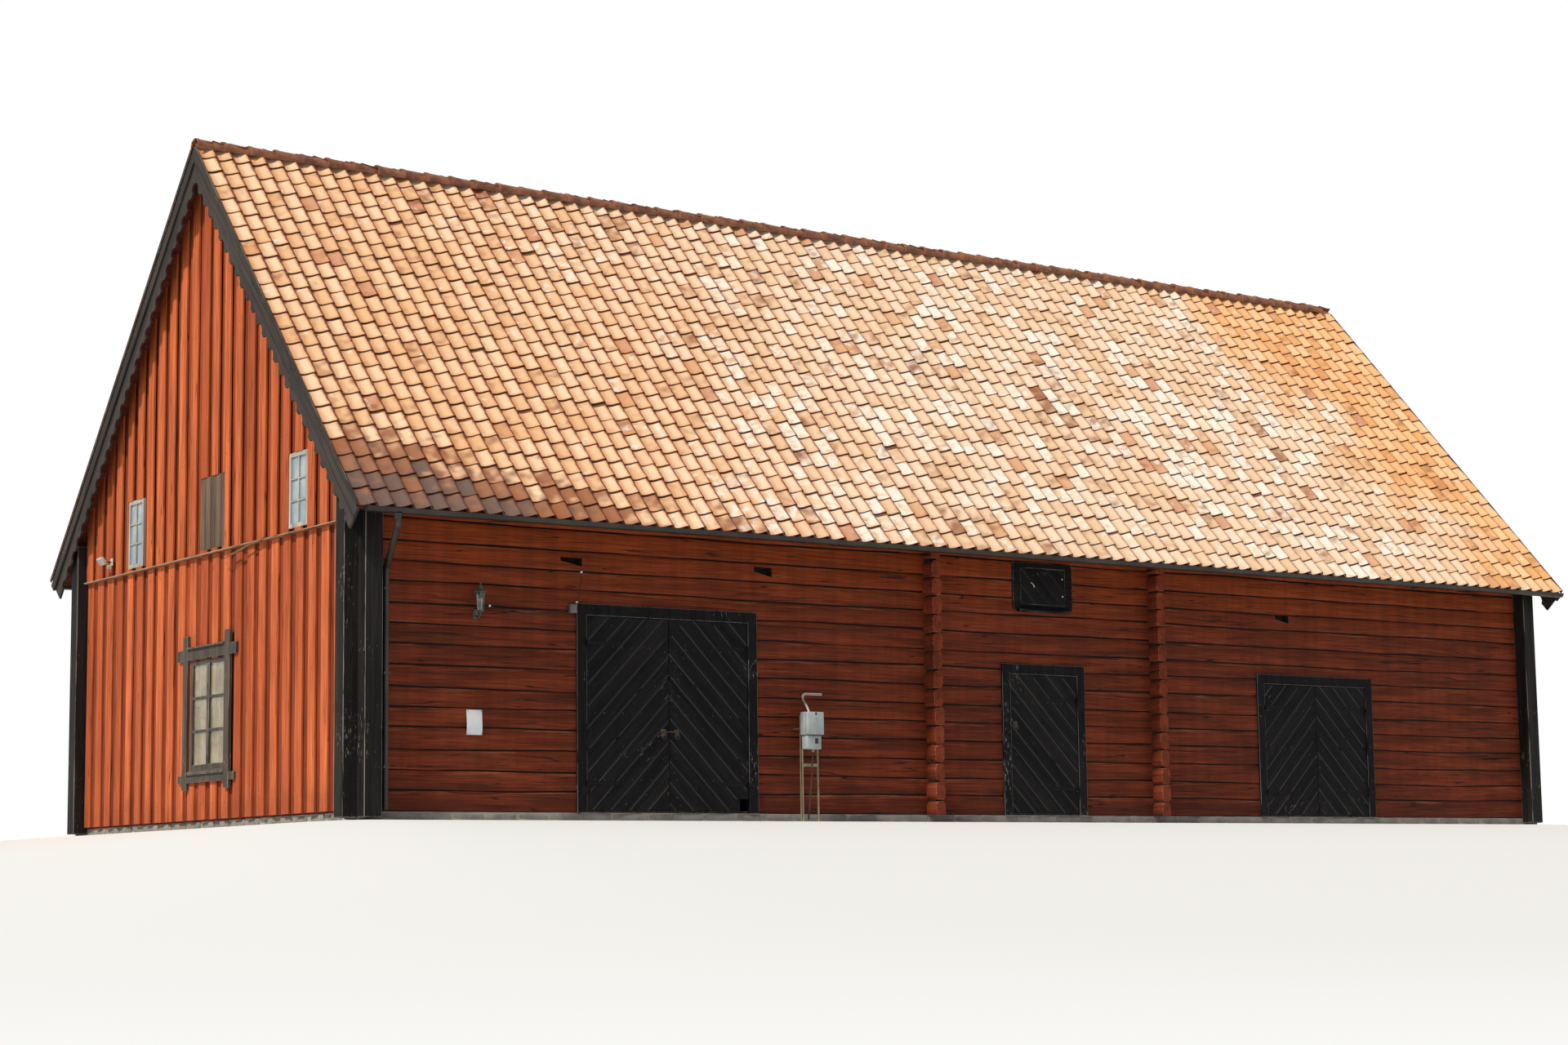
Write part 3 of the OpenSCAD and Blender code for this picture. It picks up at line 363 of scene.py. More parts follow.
def wood(name, base, deep, worn, along, across, flakes=0.1, wear=0.5, tone_mix=0.35,
         crack_dark=0.85, patch_mix=0.8, bump=0.5, rough=0.85, streaks=0.5, splash=0.35,
         painted_top_light=None, shine=0.25):
    place = fresh_material(name)
    tone = own_value("tone")
    grain = grouped(wood_grain, Place=place, Along=along, Across=across, Tone=tone)
    air = grouped(weather, Place=place)
    fibre = grain["Fibre"]
    colour = blend(between(grain["Patch"], 0.3, 0.72) * patch_mix, base, deep)
    colour = blend(between(tone, 0.25, 1.0) * tone_mix, colour, deep)
    # An optional warmer colour towards the top of a wall, from 2.4 m to 3.9 m: painted warm light under the
    # eaves.
    if painted_top_light:
        colour = tinted(colour, painted_top_light, parts_of(place)["Z"], 2.4, 3.9, 0.6)
    fine_share = between(fibre, 0.32, 0.68, 0.74, 1.16)
    colour = blend(1.0, colour, xyz(fine_share, fine_share, fine_share), how="MULTIPLY")
    colour = blend(most(air["Streak"] * (streaks * 0.5), air["Splash"] * splash), colour,
                   swatch(deep, 0.55))
    flake = between(grain["Chip"] - (0.74 - air["Worn Area"] * flakes), 0.0, 0.05)
    # Pale where paint has flaked or a bevel is rubbed; along the logs' upper arrises and the door boards'
    # bevels this pale colour is also a painted highlight.
    worn_and_highlit = most(flake, own_value("edge_wear") * between(fibre, 0.62 - wear * 0.3, 0.72 - wear * 0.3))
    colour = blend(worn_and_highlit, colour, worn)
    # Near black in the wood's cracks, and painted shade in the grooves between logs where a wall marks its
    # seams.
    crack_and_seam_shade = most(grain["Crack"] * crack_dark, between(own_value("seam"), 0.2, 0.7))
    colour = blend(crack_and_seam_shade, colour, swatch(deep, 0.11))
    normal = relief(grain["Height"] - worn_and_highlit * 0.25, bump, 0.006)
    coat(colour, between(fibre, 0.3, 0.7, rough + 0.08, rough - 0.08), Normal=normal,
         Specular_IOR_Level=shine)


pitch = math.radians(48)
x_way, y_way, z_way = (1, 0, 0), (0, 1, 0), (0, 0, 1)
front_slope, back_slope = ((0, side * math.cos(pitch), math.sin(pitch)) for side in (1, -1))
rising, falling, inward = (0.7071, 0, 0.7071), (0.7071, 0, -0.7071), (-0.7071, 0, 0.7071)
tar = dict(rough=0.7, splash=0.1, shine=0.1)
# With wear 1.1 nearly every bevel of a slanting board takes the pale worn colour: rubbed wear, and a
# painted highlight along each board's edge.
slanting_tar = dict(flakes=0.12, wear=1.1, rough=0.66, splash=0.1, shine=0.08)
bare = dict(flakes=0.0, wear=0.3)
# The log red is deep, and set darker in part as painted shade of the door side; towards the wall top it
# turns warmer as painted light.
wood("log_red", "84381c", "4c1e0d", "a8694a", x_way, z_way, flakes=0.05, bump=0.9, tone_mix=0.4,
     crack_dark=0.95, splash=0.5, painted_top_light="a4460c")
wood("end_red", "913f22", "5c2714", "a9694f", y_way, z_way, flakes=0.03, bump=0.7)
wood("board_red", "dc7341", "a04722", "e0ab84", z_way, y_way, flakes=0.055, wear=0.3,
     tone_mix=0.7, patch_mix=0.65, streaks=0.7, splash=0.4)
# A darker copy of the gable red for the under boards: painted shade between the cover boards.
wood("board_shade", "a44b28", "6e2d17", "b98263", z_way, y_way, flakes=0.03, wear=0.3,
     patch_mix=0.7, streaks=0.8, splash=0.5)
wood("drip_wood", "96684a", "6d3d28", "b39a80", y_way, z_way, flakes=0.3, wear=0.9)
wood("tar_upright", "1b1a1b", "0d0d0e", "868380", z_way, x_way, flakes=0.15, wear=0.8, **tar)
wood("tar_level", "1c1b1b", "0e0e0f", "868380", x_way, z_way, flakes=0.10, wear=0.6, **tar)
wood("tar_corner", "282524", "131211", "7d766d", z_way, x_way, flakes=0.14, wear=0.75, rough=0.7,
     splash=0.1, patch_mix=1.0, streaks=0.2, shine=0.15)
wood("tar_rising", "232121", "111011", "77736f", rising, inward, **slanting_tar)
wood("tar_falling", "232121", "111011", "77736f", falling, rising, **slanting_tar)
wood("barge_front", "443c37", "2a2523", "8b847c", front_slope, x_way, flakes=0.06)
wood("barge_back", "443c37", "2a2523", "8b847c", back_slope, x_way, flakes=0.06)
wood("trim_wood", "5c544b", "3f3933", "958d82", z_way, y_way, flakes=0.12, wear=0.6)
wood("grey_board", "7a6451", "463930", "a0917f", z_way, y_way, wear=0.6, tone_mix=0.5)
wood("packing_board", "dabb7c", "b3965c", "ead3a4", z_way, y_way, flakes=0.05, crack_dark=0.4, tone_mix=0.6,
     streaks=0.3, splash=0.0, bump=0.2)
wood("sash_paint", "c2beb3", "878681", "6e655d", z_way, y_way, flakes=0.2, crack_dark=0.6)
wood("soffit_red", "7f3825", "58261a", "9c6a52", x_way, y_way)
wood("bare_level", "8a6d50", "5d4632", "9d8467", y_way, z_way, **bare)
wood("bare_floor", "84694e", "574331", "9d8467", x_way, y_way, **bare)
wood("bare_front", "8a6d50", "5d4632", "9d8467", front_slope, x_way, **bare)
wood("bare_back", "8a6d50", "5d4632", "9d8467", back_slope, x_way, **bare)
print("finishes so far:", len(finishes))

# %% [markdown]
# ## Tile, stone, metal and glass
# The clay tiles are orange at both ends of the roof and bleached in its middle. Each tile carries its own
# numbers: tone from tile to tile, lichen where pale crusts grow in drifts, soot where the lowest rows
# stay damp and dark, and its place across and along the tile, from which the finish paints shading across
# each tile and painted shade in the joints and on the lips. Metal parts are painted black, rusted or
# weathered green, each with its own patches.

# %% Finish of the clay tiles
place = fresh_material("tile_clay")
tone, lichen, soot, tile_x, tile_y = (own_value(n) for n in ("tone", "lichen", "soot", "tile_x", "tile_y"))
at = parts_of(place)
along_roof = at["X"] + (cloud(place, 0.8, 2.0) - 0.5) * 5.0
fresh_corner = between(along_roof + (at["Z"] - 6.6) * 0.6, 6.6, 8.8)
bleached = between(along_roof, -8.0, -1.0, 0.5, 1.0) * (1.0 - fresh_corner)
lichen = lichen * (1.0 - fresh_corner * 0.85)
clean = blend(between(tone, 0.0, 0.9, how="LINEAR"), "f0c594", "dfa368")
pale = blend(between(tone, 0.0, 0.9, how="LINEAR"), "ebd3b9", "dfbe9a")
colour = blend(bleached, clean, pale)
colour = tinted(colour, "c48352", tone, 0.95, 0.96, 0.5)
colour = tinted(colour, "c08a74", tone, 0.98, 0.985, 0.5)
speckle = cloud(place, 30.0, 4.0, 0.65)
mottle = cloud(place, 9.0, 4.0, 0.6)
colour = tinted(colour, "c38255", mottle, 0.5, 0.8, 0.4)
uneven_x = tile_x + between(mottle, 0.3, 0.7, -0.03, 0.03)
# A deeper orange across the trough and the lower end of each tile: painted shading of the tile's curve.
painted_tile_shading = most(between(uneven_x, 0.6, 0.3, 0.0, 0.6), between(uneven_x, 0.76, 0.89, 0.0, 0.6))
painted_tile_shading = most(painted_tile_shading, between(tile_y, 0.2, 0.0, 0.0, 0.45))
colour = blend(painted_tile_shading * between(at["X"], -6.0, 1.0, 0.9, 0.45), colour, "d58650")
colour = tinted(colour, "e2cbb0", speckle, 0.55, 0.72, 0.3)
colour = tinted(colour, "f0e8dc", mottle * 1.6 + lichen * 0.45, 0.95, 1.28, 0.8)
grey_spots = between(lichen, 0.25, 0.6) * between(speckle, 0.60, 0.70, 0.0, 0.35)
colour = blend(grey_spots, colour, "9a9389")
soft = cloud(place, 5.0, 1.0) - 0.5
middle_tone = tone - 0.5
colour = tinted(colour, "894e31", soot + soft + middle_tone * 0.35, 0.12, 0.55, 0.85)
sooty = between(soot + soft - middle_tone * 0.5, 0.5, 1.05, 0.0, 0.85)
colour = blend(sooty, colour, "554741")
colour = tinted(colour, "8b5a3c", cloud(place, 70.0, 2.0), 0.62, 0.72, 0.3)
# Dark lines along each tile's sides, under each row's lip and on the lip's front face: painted shade where
# crests and lips shade the tile below.
painted_side_shade = most(between(uneven_x, 0.28, 0.12, 0.0, 0.55), between(uneven_x, 0.885, 0.945, 0.0, 0.9))
painted_side_shade = painted_side_shade * between(at["X"], -6.0, 1.0, 1.0, 0.7)
painted_lip_shade = most(between(tile_y, 0.93, 0.99, 0.0, 0.92), between(tile_y, -0.04, -0.08, 0.0, 0.6))
colour = blend(most(painted_side_shade, painted_lip_shade), colour, "5c2a14")
normal = relief(speckle, 0.35, 0.004)
coat(colour, between(speckle, 0.3, 0.7, 0.7, 0.9) - sooty * 0.3, Normal=normal, Specular_IOR_Level=0.3)
print("tile_clay nodes:", len(tree.nodes))

# %% Recipe for stone, metal and other plain stuff
def plain_stuff(name, base, other, rough=0.6, metal=0.0, size=6.0, fine_size=45.0, share=0.7, bump=0.3,
                rust=None, rust_share=0.0, shine=0.5):
    place = fresh_material(name)
    big = cloud(place, size, 3.0, 0.55)
    small = cloud(place, fine_size, 3.0, 0.6)
    colour = blend(between(big, 0.38, 0.68, 0.0, share), base, other)
    colour = tinted(colour, other, small, 0.4, 0.75, 0.25)
    if rust:
        spots = between(small * 0.55 + big * 0.45, 0.66 - 0.3 * rust_share, 0.74 - 0.3 * rust_share)
        colour = blend(spots, colour, rust)
        metal = (1.0 - spots) * metal
    normal = relief(small, bump, 0.003)
    coat(colour, between(small, 0.3, 0.7, rough - 0.1, rough + 0.12), Metallic=metal, Normal=normal,
         Specular_IOR_Level=shine)


plain_stuff("ridge_clay", "a2694a", "5a3627", 0.85, size=7.0, fine_size=30.0)
plain_stuff("foot_stone", "8f8b83", "67635c", 0.9, size=3.5, fine_size=25.0, bump=0.9)
plain_stuff("gutter_black", "2f2c2a", "453f3a", 0.36, metal=0.5, size=2.0, bump=0.08)
plain_stuff("rusty_iron", "3a332e", "4a3c33", 0.65, metal=0.2, size=9.0, bump=0.5, rust="8a6546",
            rust_share=0.5)
plain_stuff("tar_iron", "121213", "1b1918", 0.65, size=9.0, bump=0.4, rust="34231b", rust_share=0.1,
            shine=0.12)
plain_stuff("green_metal", "56635c", "3a4540", 0.6, metal=0.2, size=20.0, rust="84938b", rust_share=0.2)
plain_stuff("zinc_plain", "938a6e", "776e57", 0.5, metal=0.3, size=8.0, bump=0.2)
plain_stuff("notice_white", "e6e8ea", "cfd3d6", 0.5, share=0.4, bump=0.02)
# The near-black finish in this list stands for shade: inside the vent slots and behind the log ends.
for name, base, other, rough, size, bump in (("conduit_white", "e4d8d2", "c4b8b2", 0.5, 9.0, 0.1),
                                             ("porcelain", "e8e6e0", "cfccc4", 0.25, 9.0, 0.02),
                                             ("cable_dark", "3a2a25", "241b18", 0.6, 12.0, 0.1),
                                             ("lamp_white", "d4d2c8", "aeaca2", 0.45, 9.0, 0.05),
                                             ("box_grey", "a6b0af", "8d9695", 0.45, 5.0, 0.06),
                                             ("box_dark", "6b6562", "544f4c", 0.55, 9.0, 0.1),
                                             ("slot_dark", "1c100c", "0f0a08", 0.95, 8.0, 0.3),
                                             ("mortar_pale", "a79d92", "857a70", 0.9, 4.0, 0.3)):
    plain_stuff(name, base, other, rough, size=size, bump=bump)


def pane(name, tint, dust, clear):
    film = cloud(fresh_material(name), 3.0, 3.0, 0.6)
    colour = blend(between(film, 0.35, 0.7), tint, dust)
    coat(colour, between(film, 0.3, 0.7, 0.05, 0.22), Transmission_Weight=clear, IOR=1.45)


pane("lower_pane", "eef0ea", "d8d6c8", 0.96)
pane("upper_pane", "9fb2bd", "c5cdd2", 0.35)
print("finishes in all:", len(finishes))

# %% [markdown]
# ## Carpentry helpers
# A solid from the frame has knife-sharp corners. A board's corner is rounded by hand and weather, so a
# copy of the solid gets a small bevel, and its new faces are marked with edge_wear for the finish.

# %% Helpers that place, soften and hand over a piece
def triangle_count(mesh):
    mesh.calc_loop_triangles()
    return len(mesh.loop_triangles)


def paint(mesh, finish):
    mesh.materials.clear()
    mesh.materials.append(finishes[finish])
    return mesh


def hand_over(name, mesh, body="building", instead=()):
    mesh.name = name
    piece = new_object(name, mesh)
    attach(piece, body)
    if instead:
        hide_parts(*instead)
    print(name, "on", body, "-", triangle_count(mesh), "triangles")
    return piece


def merged_copy(node):
    """The solid's surface as one closed skin of flat faces."""
    skin = bmesh.new()
    skin.from_mesh(solids[node].data)
    bmesh.ops.remove_doubles(skin, verts=skin.verts, dist=1e-5)
    bmesh.ops.dissolve_limit(skin, angle_limit=math.radians(1), verts=skin.verts, edges=skin.edges)
    return skin


def as_mesh(skin, mesh, finish=None):
    """The skin written to a mesh, or to a new one if a name is given."""
    mesh = bpy.data.meshes.new(mesh) if isinstance(mesh, str) else mesh
    skin.to_mesh(mesh)
    skin.free()
    return paint(mesh, finish) if finish else mesh


def bevel_corners(skin, width, segments=1, sharp=50, profile=0.5, wanted=None):
    """Bevels the sharp outer edges, or those of them that are wanted, and marks the new faces as worn."""
    worn = skin.faces.layers.float.get("edge_wear") or skin.faces.layers.float.new("edge_wear")
    corners = [e for e in skin.edges if len(e.link_faces) == 2 and e.is_convex
               and e.calc_face_angle(0) > math.radians(sharp) and (wanted is None or wanted(e))]
    bevel = bmesh.ops.bevel(skin, geom=corners, offset=width, segments=segments, profile=profile,
                            affect="EDGES", clamp_overlap=wanted is None)
    for face in bevel["faces"]:
        face[worn] = 1.0


def soften(node, finish, width=0.004, body="building", ending="_worn"):
    skin = merged_copy(node)
    bevel_corners(skin, width, 2, 40, 0.6)
    return hand_over(node.removesuffix("_straps") + ending, as_mesh(skin, node, finish), body,
                     (node,))


soften("drip_boards", "drip_wood")
soften("front_bargeboards", "barge_front")
soften("back_bargeboards", "barge_back")
soften("loft_beams", "bare_level", 0.006)
for node, finish in {"front_roof_boards": "soffit_red", "back_roof_boards": "soffit_red",
                     "front_rafters": "bare_front", "back_rafters": "bare_back",
                     "loft_floors": "bare_floor", "gable_log_walls": "log_red",
                     "stone_footing": "mortar_pale", "gutters": "gutter_black",
                     "downspouts": "gutter_black", "lower_glass": "lower_pane",
                     "upper_glass": "upper_pane"}.items():
    paint(solids[node].data, finish)
print("softened and repainted the first solids")

# %% [markdown]
# ## How a repeated piece is grown
# A Geometry Nodes tree with named inputs makes what repeats. The helper gives a fresh object that tree,
# sets the inputs by their identifiers, and takes the evaluated result as a plain mesh, so that nothing
# live is left on the piece.

# %% Helpers that build and run a geometry tree
def new_tree(name, **inputs):
    inputs = {label.replace("_", " "): sort for label, sort in inputs.items()}
    return new_group(name, {**inputs, "Finish": "Material"}, {"Geometry": "Geometry"},
                     "GeometryNodeTree")[1]


def end_tree(geometry):
    whole = geo("RealizeInstances", {"Geometry": geometry})
    end_group(Geometry=geo("SetMaterial", {"Geometry": whole, "Material": given["Finish"]}))
    return tree


def evaluated(shape):
    bpy.context.view_layer.update()
    ready = bpy.context.evaluated_depsgraph_get()
    return bpy.data.meshes.new_from_object(shape.evaluated_get(ready), preserve_all_data_layers=True,
                                           depsgraph=ready)


def grow(kind, finish, **values):
    holder = new_object("holder", bpy.data.meshes.new("holder"))
    modifier = holder.modifiers.new("grow", "NODES")
    modifier.node_group = kind
    names = {s.name: s.identifier for s in kind.interface.items_tree if s.in_out == "INPUT"}
    for label, value in {**values, "Finish": finishes[finish]}.items():
        modifier[names[label.replace("_", " ")]] = value
    holder.update_tag()
    mesh = evaluated(holder)
    bpy.data.objects.remove(holder)
    return mesh


def chance(low, high, seed, number=None):
    return step("FunctionNodeRandomValue", {2: low, 3: high, "ID": number, "Seed": seed}, 1,
                data_type="FLOAT")


def note(geometry, name, value):
    return geo("StoreNamedAttribute", {"Geometry": geometry, "Name": name, "Value": value},
               data_type="FLOAT")


def moved(geometry, x=None, y=None, z=None):
    return geo("SetPosition", {"Geometry": geometry, "Offset": xyz(x, y, z)})


def shape_of(name):
    return geo("ObjectInfo", {"Object": given[name]}, "Geometry")


def row_of(count, start, spacing):
    return geo("MeshLine", {"Count": count, "Start Location": start, "Offset": spacing})


patterns = []


def keep_pattern(name, mesh):
    """A shape that a tree repeats or reads; it is taken away once every piece is grown."""
    patterns.append(new_object(name, mesh))
    return patterns[-1]


def pattern(name, points, faces, edges=()):
    mesh = bpy.data.meshes.new(name)
    mesh.from_pydata(points, list(edges), faces)
    return keep_pattern(name, mesh)


def smoothed(mesh, faces, sharp):
    for face in faces:
        face.use_smooth = True
    mesh.set_sharp_from_angle(angle=math.radians(sharp))


print("node trees so far:", len(bpy.data.node_groups))

# %% [markdown]
# ## Pantiles
# A pantile is an S-shaped clay tile: a broad trough that rises to a crest at its right and drops sharply
# onto its neighbour. It is drawn once as a closed prism, whose corners note their place on the tile, so
# that the finish can paint shade into the joints and onto the lip's front face. A grid of 87 by 24 points
# on each slope carries it, tipped so that each row's lip lies on the row below. Small random turns keep the
# rows alive.

# %% One pantile
tile_profile = [(0, -24), (22, -33), (58, -37), (100, -33), (142, -20), (178, -2), (208, 13), (230, 19),
                (248, 11), (262, -12)]
tile_thick, tile_row, tile_lap, tile_step, tile_width = 0.012, 0.30014, 0.055, 0.020, 0.2416
# The lip's front face gets its own mark across the tile, so that the finish can paint shade on it.
lip_mark = -0.1
tile_points = []
for reach in (0.0, tile_row + tile_lap):
    for profile, thick in ((tile_profile, 0.0), (tile_profile[::-1], tile_thick)):
        tile_points += [(x / 1000, reach, h / 1000 - thick - tile_step * reach / tile_row)
                        for x, h in profile]
rim = 2 * len(tile_profile)
tile_faces = [(i, (i + 1) % rim, rim + (i + 1) % rim, rim + i) for i in range(rim)]
tile_faces += [tuple(range(rim - 1, -1, -1)), tuple(range(rim, 2 * rim))]
pantile = pattern("pantile", tile_points, tile_faces)
tile_mesh = pantile.data
smoothed(tile_mesh, tile_mesh.polygons[:rim], 50)
ways = {name: tile_mesh.attributes.new(name, "FLOAT", "CORNER") for name in ("tile_x", "tile_y")}
for face in tile_mesh.polygons:
    for corner in face.loop_indices:
        spot = tile_mesh.vertices[tile_mesh.loops[corner].vertex_index].co
        ways["tile_x"].data[corner].value = spot.x / tile_width
        ways["tile_y"].data[corner].value = lip_mark if face.index == rim else spot.y / tile_row
print("one tile has", triangle_count(tile_mesh), "triangles")

# %% Tree that lays the tiles
given = new_tree("tile_laying", Tile="Object", Columns="Int", Rows="Int", Tile_Width="Float",
                 Row_Length="Float", Pitch="Float", Middle_Of_Slope="Vector", Turn="Float", Seed="Int")
grid = geo("MeshGrid", {"Size X": (given["Columns"] - 1.0) * given["Tile Width"],
                        "Size Y": (given["Rows"] - 1.0) * given["Row Length"],
                        "Vertices X": given["Columns"], "Vertices Y": given["Rows"]})
points = geo("MeshToPoints", {"Mesh": grid})
spot = geo("InputPosition")
at = parts_of(spot)
run = stretched(vector_calc("ADD", spot, xyz(at["Y"] * -0.22, None, given["Seed"])), 0.55, 0.17, 1.0)
drift = cloud(run, 1.0, 2.0, 0.5)
luck = chance(0.0, 1.0, 11)
away = between(at["X"], -9.0, -1.0, 0.15, 1.0)
points = note(points, "lichen", away * between(drift * 1.4 + luck * 1.1, 1.15, 1.85))
low_left = at["X"] * 0.26 + at["Y"] * 0.8
damp = between(low_left + cloud(spot, 0.9, 2.0) * 1.2, -3.1, -4.8)
patchy = between(cloud(vector_calc("ADD", run, (31.0, 7.0, 3.0)), 1.6, 2.0), 0.5, 0.75, 0.0, 0.3)
points = note(points, "soot", most(damp, patchy * chance(0.2, 1.0, 12)))
points = note(points, "tone", chance(0.0, 1.0, 13))
points = moved(points, chance(-0.004, 0.004, 14),
               chance(-0.007, 0.007, 15) - between(chance(0.0, 1.0, 16), 0.985, 1.0, 0.0, 0.05, "LINEAR"),
               (cloud(spot, 0.5, 1.0) - 0.5) * 0.018)
wobble = xyz(chance(-0.010, 0.010, 17), chance(-0.02, 0.02, 18), chance(-0.016, 0.016, 19))
tiles = geo("InstanceOnPoints", {"Points": points, "Instance": shape_of("Tile"), "Rotation": wobble})
slope = geo("Transform", {"Geometry": tiles, "Translation": given["Middle Of Slope"],
                          "Rotation": xyz(given["Pitch"])})
tile_laying = end_tree(geo("Transform", {"Geometry": slope, "Rotation": xyz(z=given["Turn"])}))

# %% Lay both slopes
roof_apex, tile_rows, tile_columns, slope_mid_x = 8.9996, 24, 87, -0.1268
middle = (tile_rows + 1) / 2 * tile_row
slope_middle = (slope_mid_x, -middle * math.cos(pitch), roof_apex - middle * math.sin(pitch))
for side, turn, seed in (("front", 0.0, 3), ("back", math.pi, 8)):
    mesh = grow(tile_laying, "tile_clay", Tile=pantile, Columns=tile_columns, Rows=tile_rows,
                Tile_Width=tile_width, Row_Length=tile_row, Pitch=pitch, Middle_Of_Slope=slope_middle,
                Turn=turn, Seed=seed)
    hand_over(side + "_pantiles", mesh, instead=(side + "_tiles",))

# %% [markdown]
# ## Ridge tiles
# Half-round caps cover the ridge. Each cap's wide end lies over the narrow end of the next, which gives
# the ridge its row of small steps against the sky.

# %% Ridge caps along the ridge
cap_points, cap_faces = [], []
cap_rings = [(0.0, 0.120), (0.045, 0.120), (0.055, 0.112), (0.43, 0.104)]
cap_steps, cap_thick, cap_start, cap_sweep = 12, 0.016, -14, 208
for x, outer in cap_rings:
    for radius in (outer, outer - cap_thick):
        for i in range(cap_steps + 1):
            a = math.radians(cap_start + cap_sweep * i / cap_steps)
            cap_points.append((x, radius * math.cos(a), radius * math.sin(a)))
row = cap_steps + 1
for r in range(len(cap_rings) - 1):
    o, n = 2 * row * r, 2 * row * (r + 1)
    for i in range(cap_steps):
        cap_faces.append((o + i, o + i + 1, n + i + 1, n + i))
        cap_faces.append((o + row + i, n + row + i, n + row + i + 1, o + row + i + 1))
    cap_faces.append((o, n, n + row, o + row))
    cap_faces.append((o + row - 1, o + 2 * row - 1, n + 2 * row - 1, n + row - 1))
last = 2 * row * (len(cap_rings) - 1)
for i in range(cap_steps):
    cap_faces.append((i, row + i, row + i + 1, i + 1))
    cap_faces.append((last + i, last + i + 1, last + row + i + 1, last + row + i))
ridge_cap = pattern("ridge_cap", cap_points, cap_faces)
smoothed(ridge_cap.data, ridge_cap.data.polygons, 40)

given = new_tree("ridge_laying", Cap="Object", Count="Int", Start="Vector", Spacing="Vector")
spots = note(row_of(given["Count"], given["Start"], given["Spacing"]), "tone", chance(0.0, 1.0, 21))
spots = moved(spots, None, chance(-0.006, 0.006, 22), chance(-0.006, 0.003, 23))
caps = geo("InstanceOnPoints", {"Points": spots, "Instance": shape_of("Cap"), "Rotation": xyz(
    None, chance(0.014, 0.034, 24), chance(-0.02, 0.02, 25))})
cap_count, cap_spacing, cap_sink = 55, 0.3775, 0.064
mesh = grow(end_tree(caps), "ridge_clay", Cap=ridge_cap, Count=cap_count,
            Start=(-10.50, 0, roof_apex - cap_sink), Spacing=(cap_spacing, 0, 0))
hand_over("ridge_caps", mesh, instead=("ridge_tiles",))

# %% [markdown]
# ## Hewn log walls
# The door side is a stack of sixteen hewn logs. Each log's face bulges a little, wanders up and down
# along its length and stands a few millimetres in or out of line. The section of the whole stack is one
# closed outline, swept along the wall in short steps. Noise then moves the points, and blocks cut out the
# doorways, the hatch and the vent slots.

# %% Tree that sweeps and roughens a log wall
given = new_tree("hewn_wall", Outline="Object", Openings="Object", Half_Length="Float", Face="Float",
                 Steps="Int", Course="Float", Footing="Float", Seed="Int")
start, end = (xyz(given["Half Length"] * side, given["Face"]) for side in (-1.0, 1.0))
path = geo("CurvePrimitiveLine", {"Start": start, "End": end})
path = geo("ResampleCurve", {"Curve": path, "Count": given["Steps"]})
path = geo("SetCurveNormal", {"Curve": path}, mode="Z_UP")
outline = geo("MeshToCurve", {"Mesh": shape_of("Outline")})
swept = geo("CurveToMesh", {"Curve": path, "Profile Curve": outline, "Fill Caps": True})
spot = geo("InputPosition")
at = parts_of(spot)
level = calc("FLOOR", (at["Z"] - given["Footing"]) / given["Course"])
sway = cloud(vector_calc("ADD", stretched(spot, 0.33, 0.0, 3.3), xyz(y=given["Seed"])), 1.0, 2.0)
rise = (sway - 0.5) * 0.085
depth = calc("ABSOLUTE", at["Y"] - given["Face"])
# The grooves between logs are marked, wider or narrower along the wall, so that the finish paints them near
# black: painted shade in the seams.
seam_groove_shade = between(depth, 0.002, 0.011) * between(depth, 0.05, 0.03)
painted_line_share = cloud(stretched(spot, 0.9, 0.0, 7.0), 1.0, 2.0)
swept = note(swept, "seam", seam_groove_shade * between(painted_line_share, 0.3, 0.55, 0.45, 1.0))
# A pale line along each log's upper arris: a painted highlight where the edge catches the light, stored in
# the attribute that also marks worn bevels.
part_up = calc("FRACT", (at["Z"] - given["Footing"]) / given["Course"])
painted_arris_highlight = between(part_up, 0.84, 0.95) * between(painted_line_share, 0.45, 0.6)
swept = note(swept, "edge_wear", painted_arris_highlight * 0.6)
foot_hold = between(at["Z"], 0.16, 0.34)
top_hold = between(at["Z"], 4.02, 3.8)
rise = rise * (foot_hold * top_hold)
hewing = cloud(stretched(spot, 2.6, 1.0, 13.0), 1.0, 3.0, 0.6)
lean = cloud(xyz(at["X"] * 0.3, None, level * 3.7), 1.0, 1.0)
rough_wall = moved(swept, None, (hewing - 0.5) * 0.016 + (lean - 0.5) * 0.026, rise)
facets = geo("Triangulate", {"Mesh": rough_wall})
hewn_wall = end_tree(geo("MeshBoolean", {"Mesh 1": facets, "Mesh 2": shape_of("Openings")},
                         operation="DIFFERENCE", solver="EXACT"))

# %% Outline of the stacked logs and the blocks that cut the openings
footing, course, log_count, log_thick, wall_top = 0.1, 0.248, 16, 0.18, 4.068
log_face = ((0.0, -0.020), (0.024, -0.008), (0.09, -0.001), (0.4, 0.004), (0.76, 0.003), (0.94, -0.003),
            (0.98, -0.010))


def seam(k):
    return footing + k * course + 0.010 * math.sin(math.radians(107 * k))


def log_outline(side):
    outer, inner = [], []
    levels = [footing] + [seam(k) for k in range(1, log_count)] + [wall_top]
    for low, high in zip(levels, levels[1:]):
        outer += [(bulge, low + share * (high - low)) for share, bulge in log_face]
        inner += [(-log_thick + 0.012, low + 0.003), (-log_thick, low + 0.12 * course),
                  (-log_thick, high - 0.12 * course)]
    ring = outer + [(-0.010, wall_top), (-log_thick, wall_top)] + inner[::-1]
    return [(side * out, -z, 0.0) for out, z in ring], [(i, (i + 1) % len(ring)) for i in range(len(ring))]


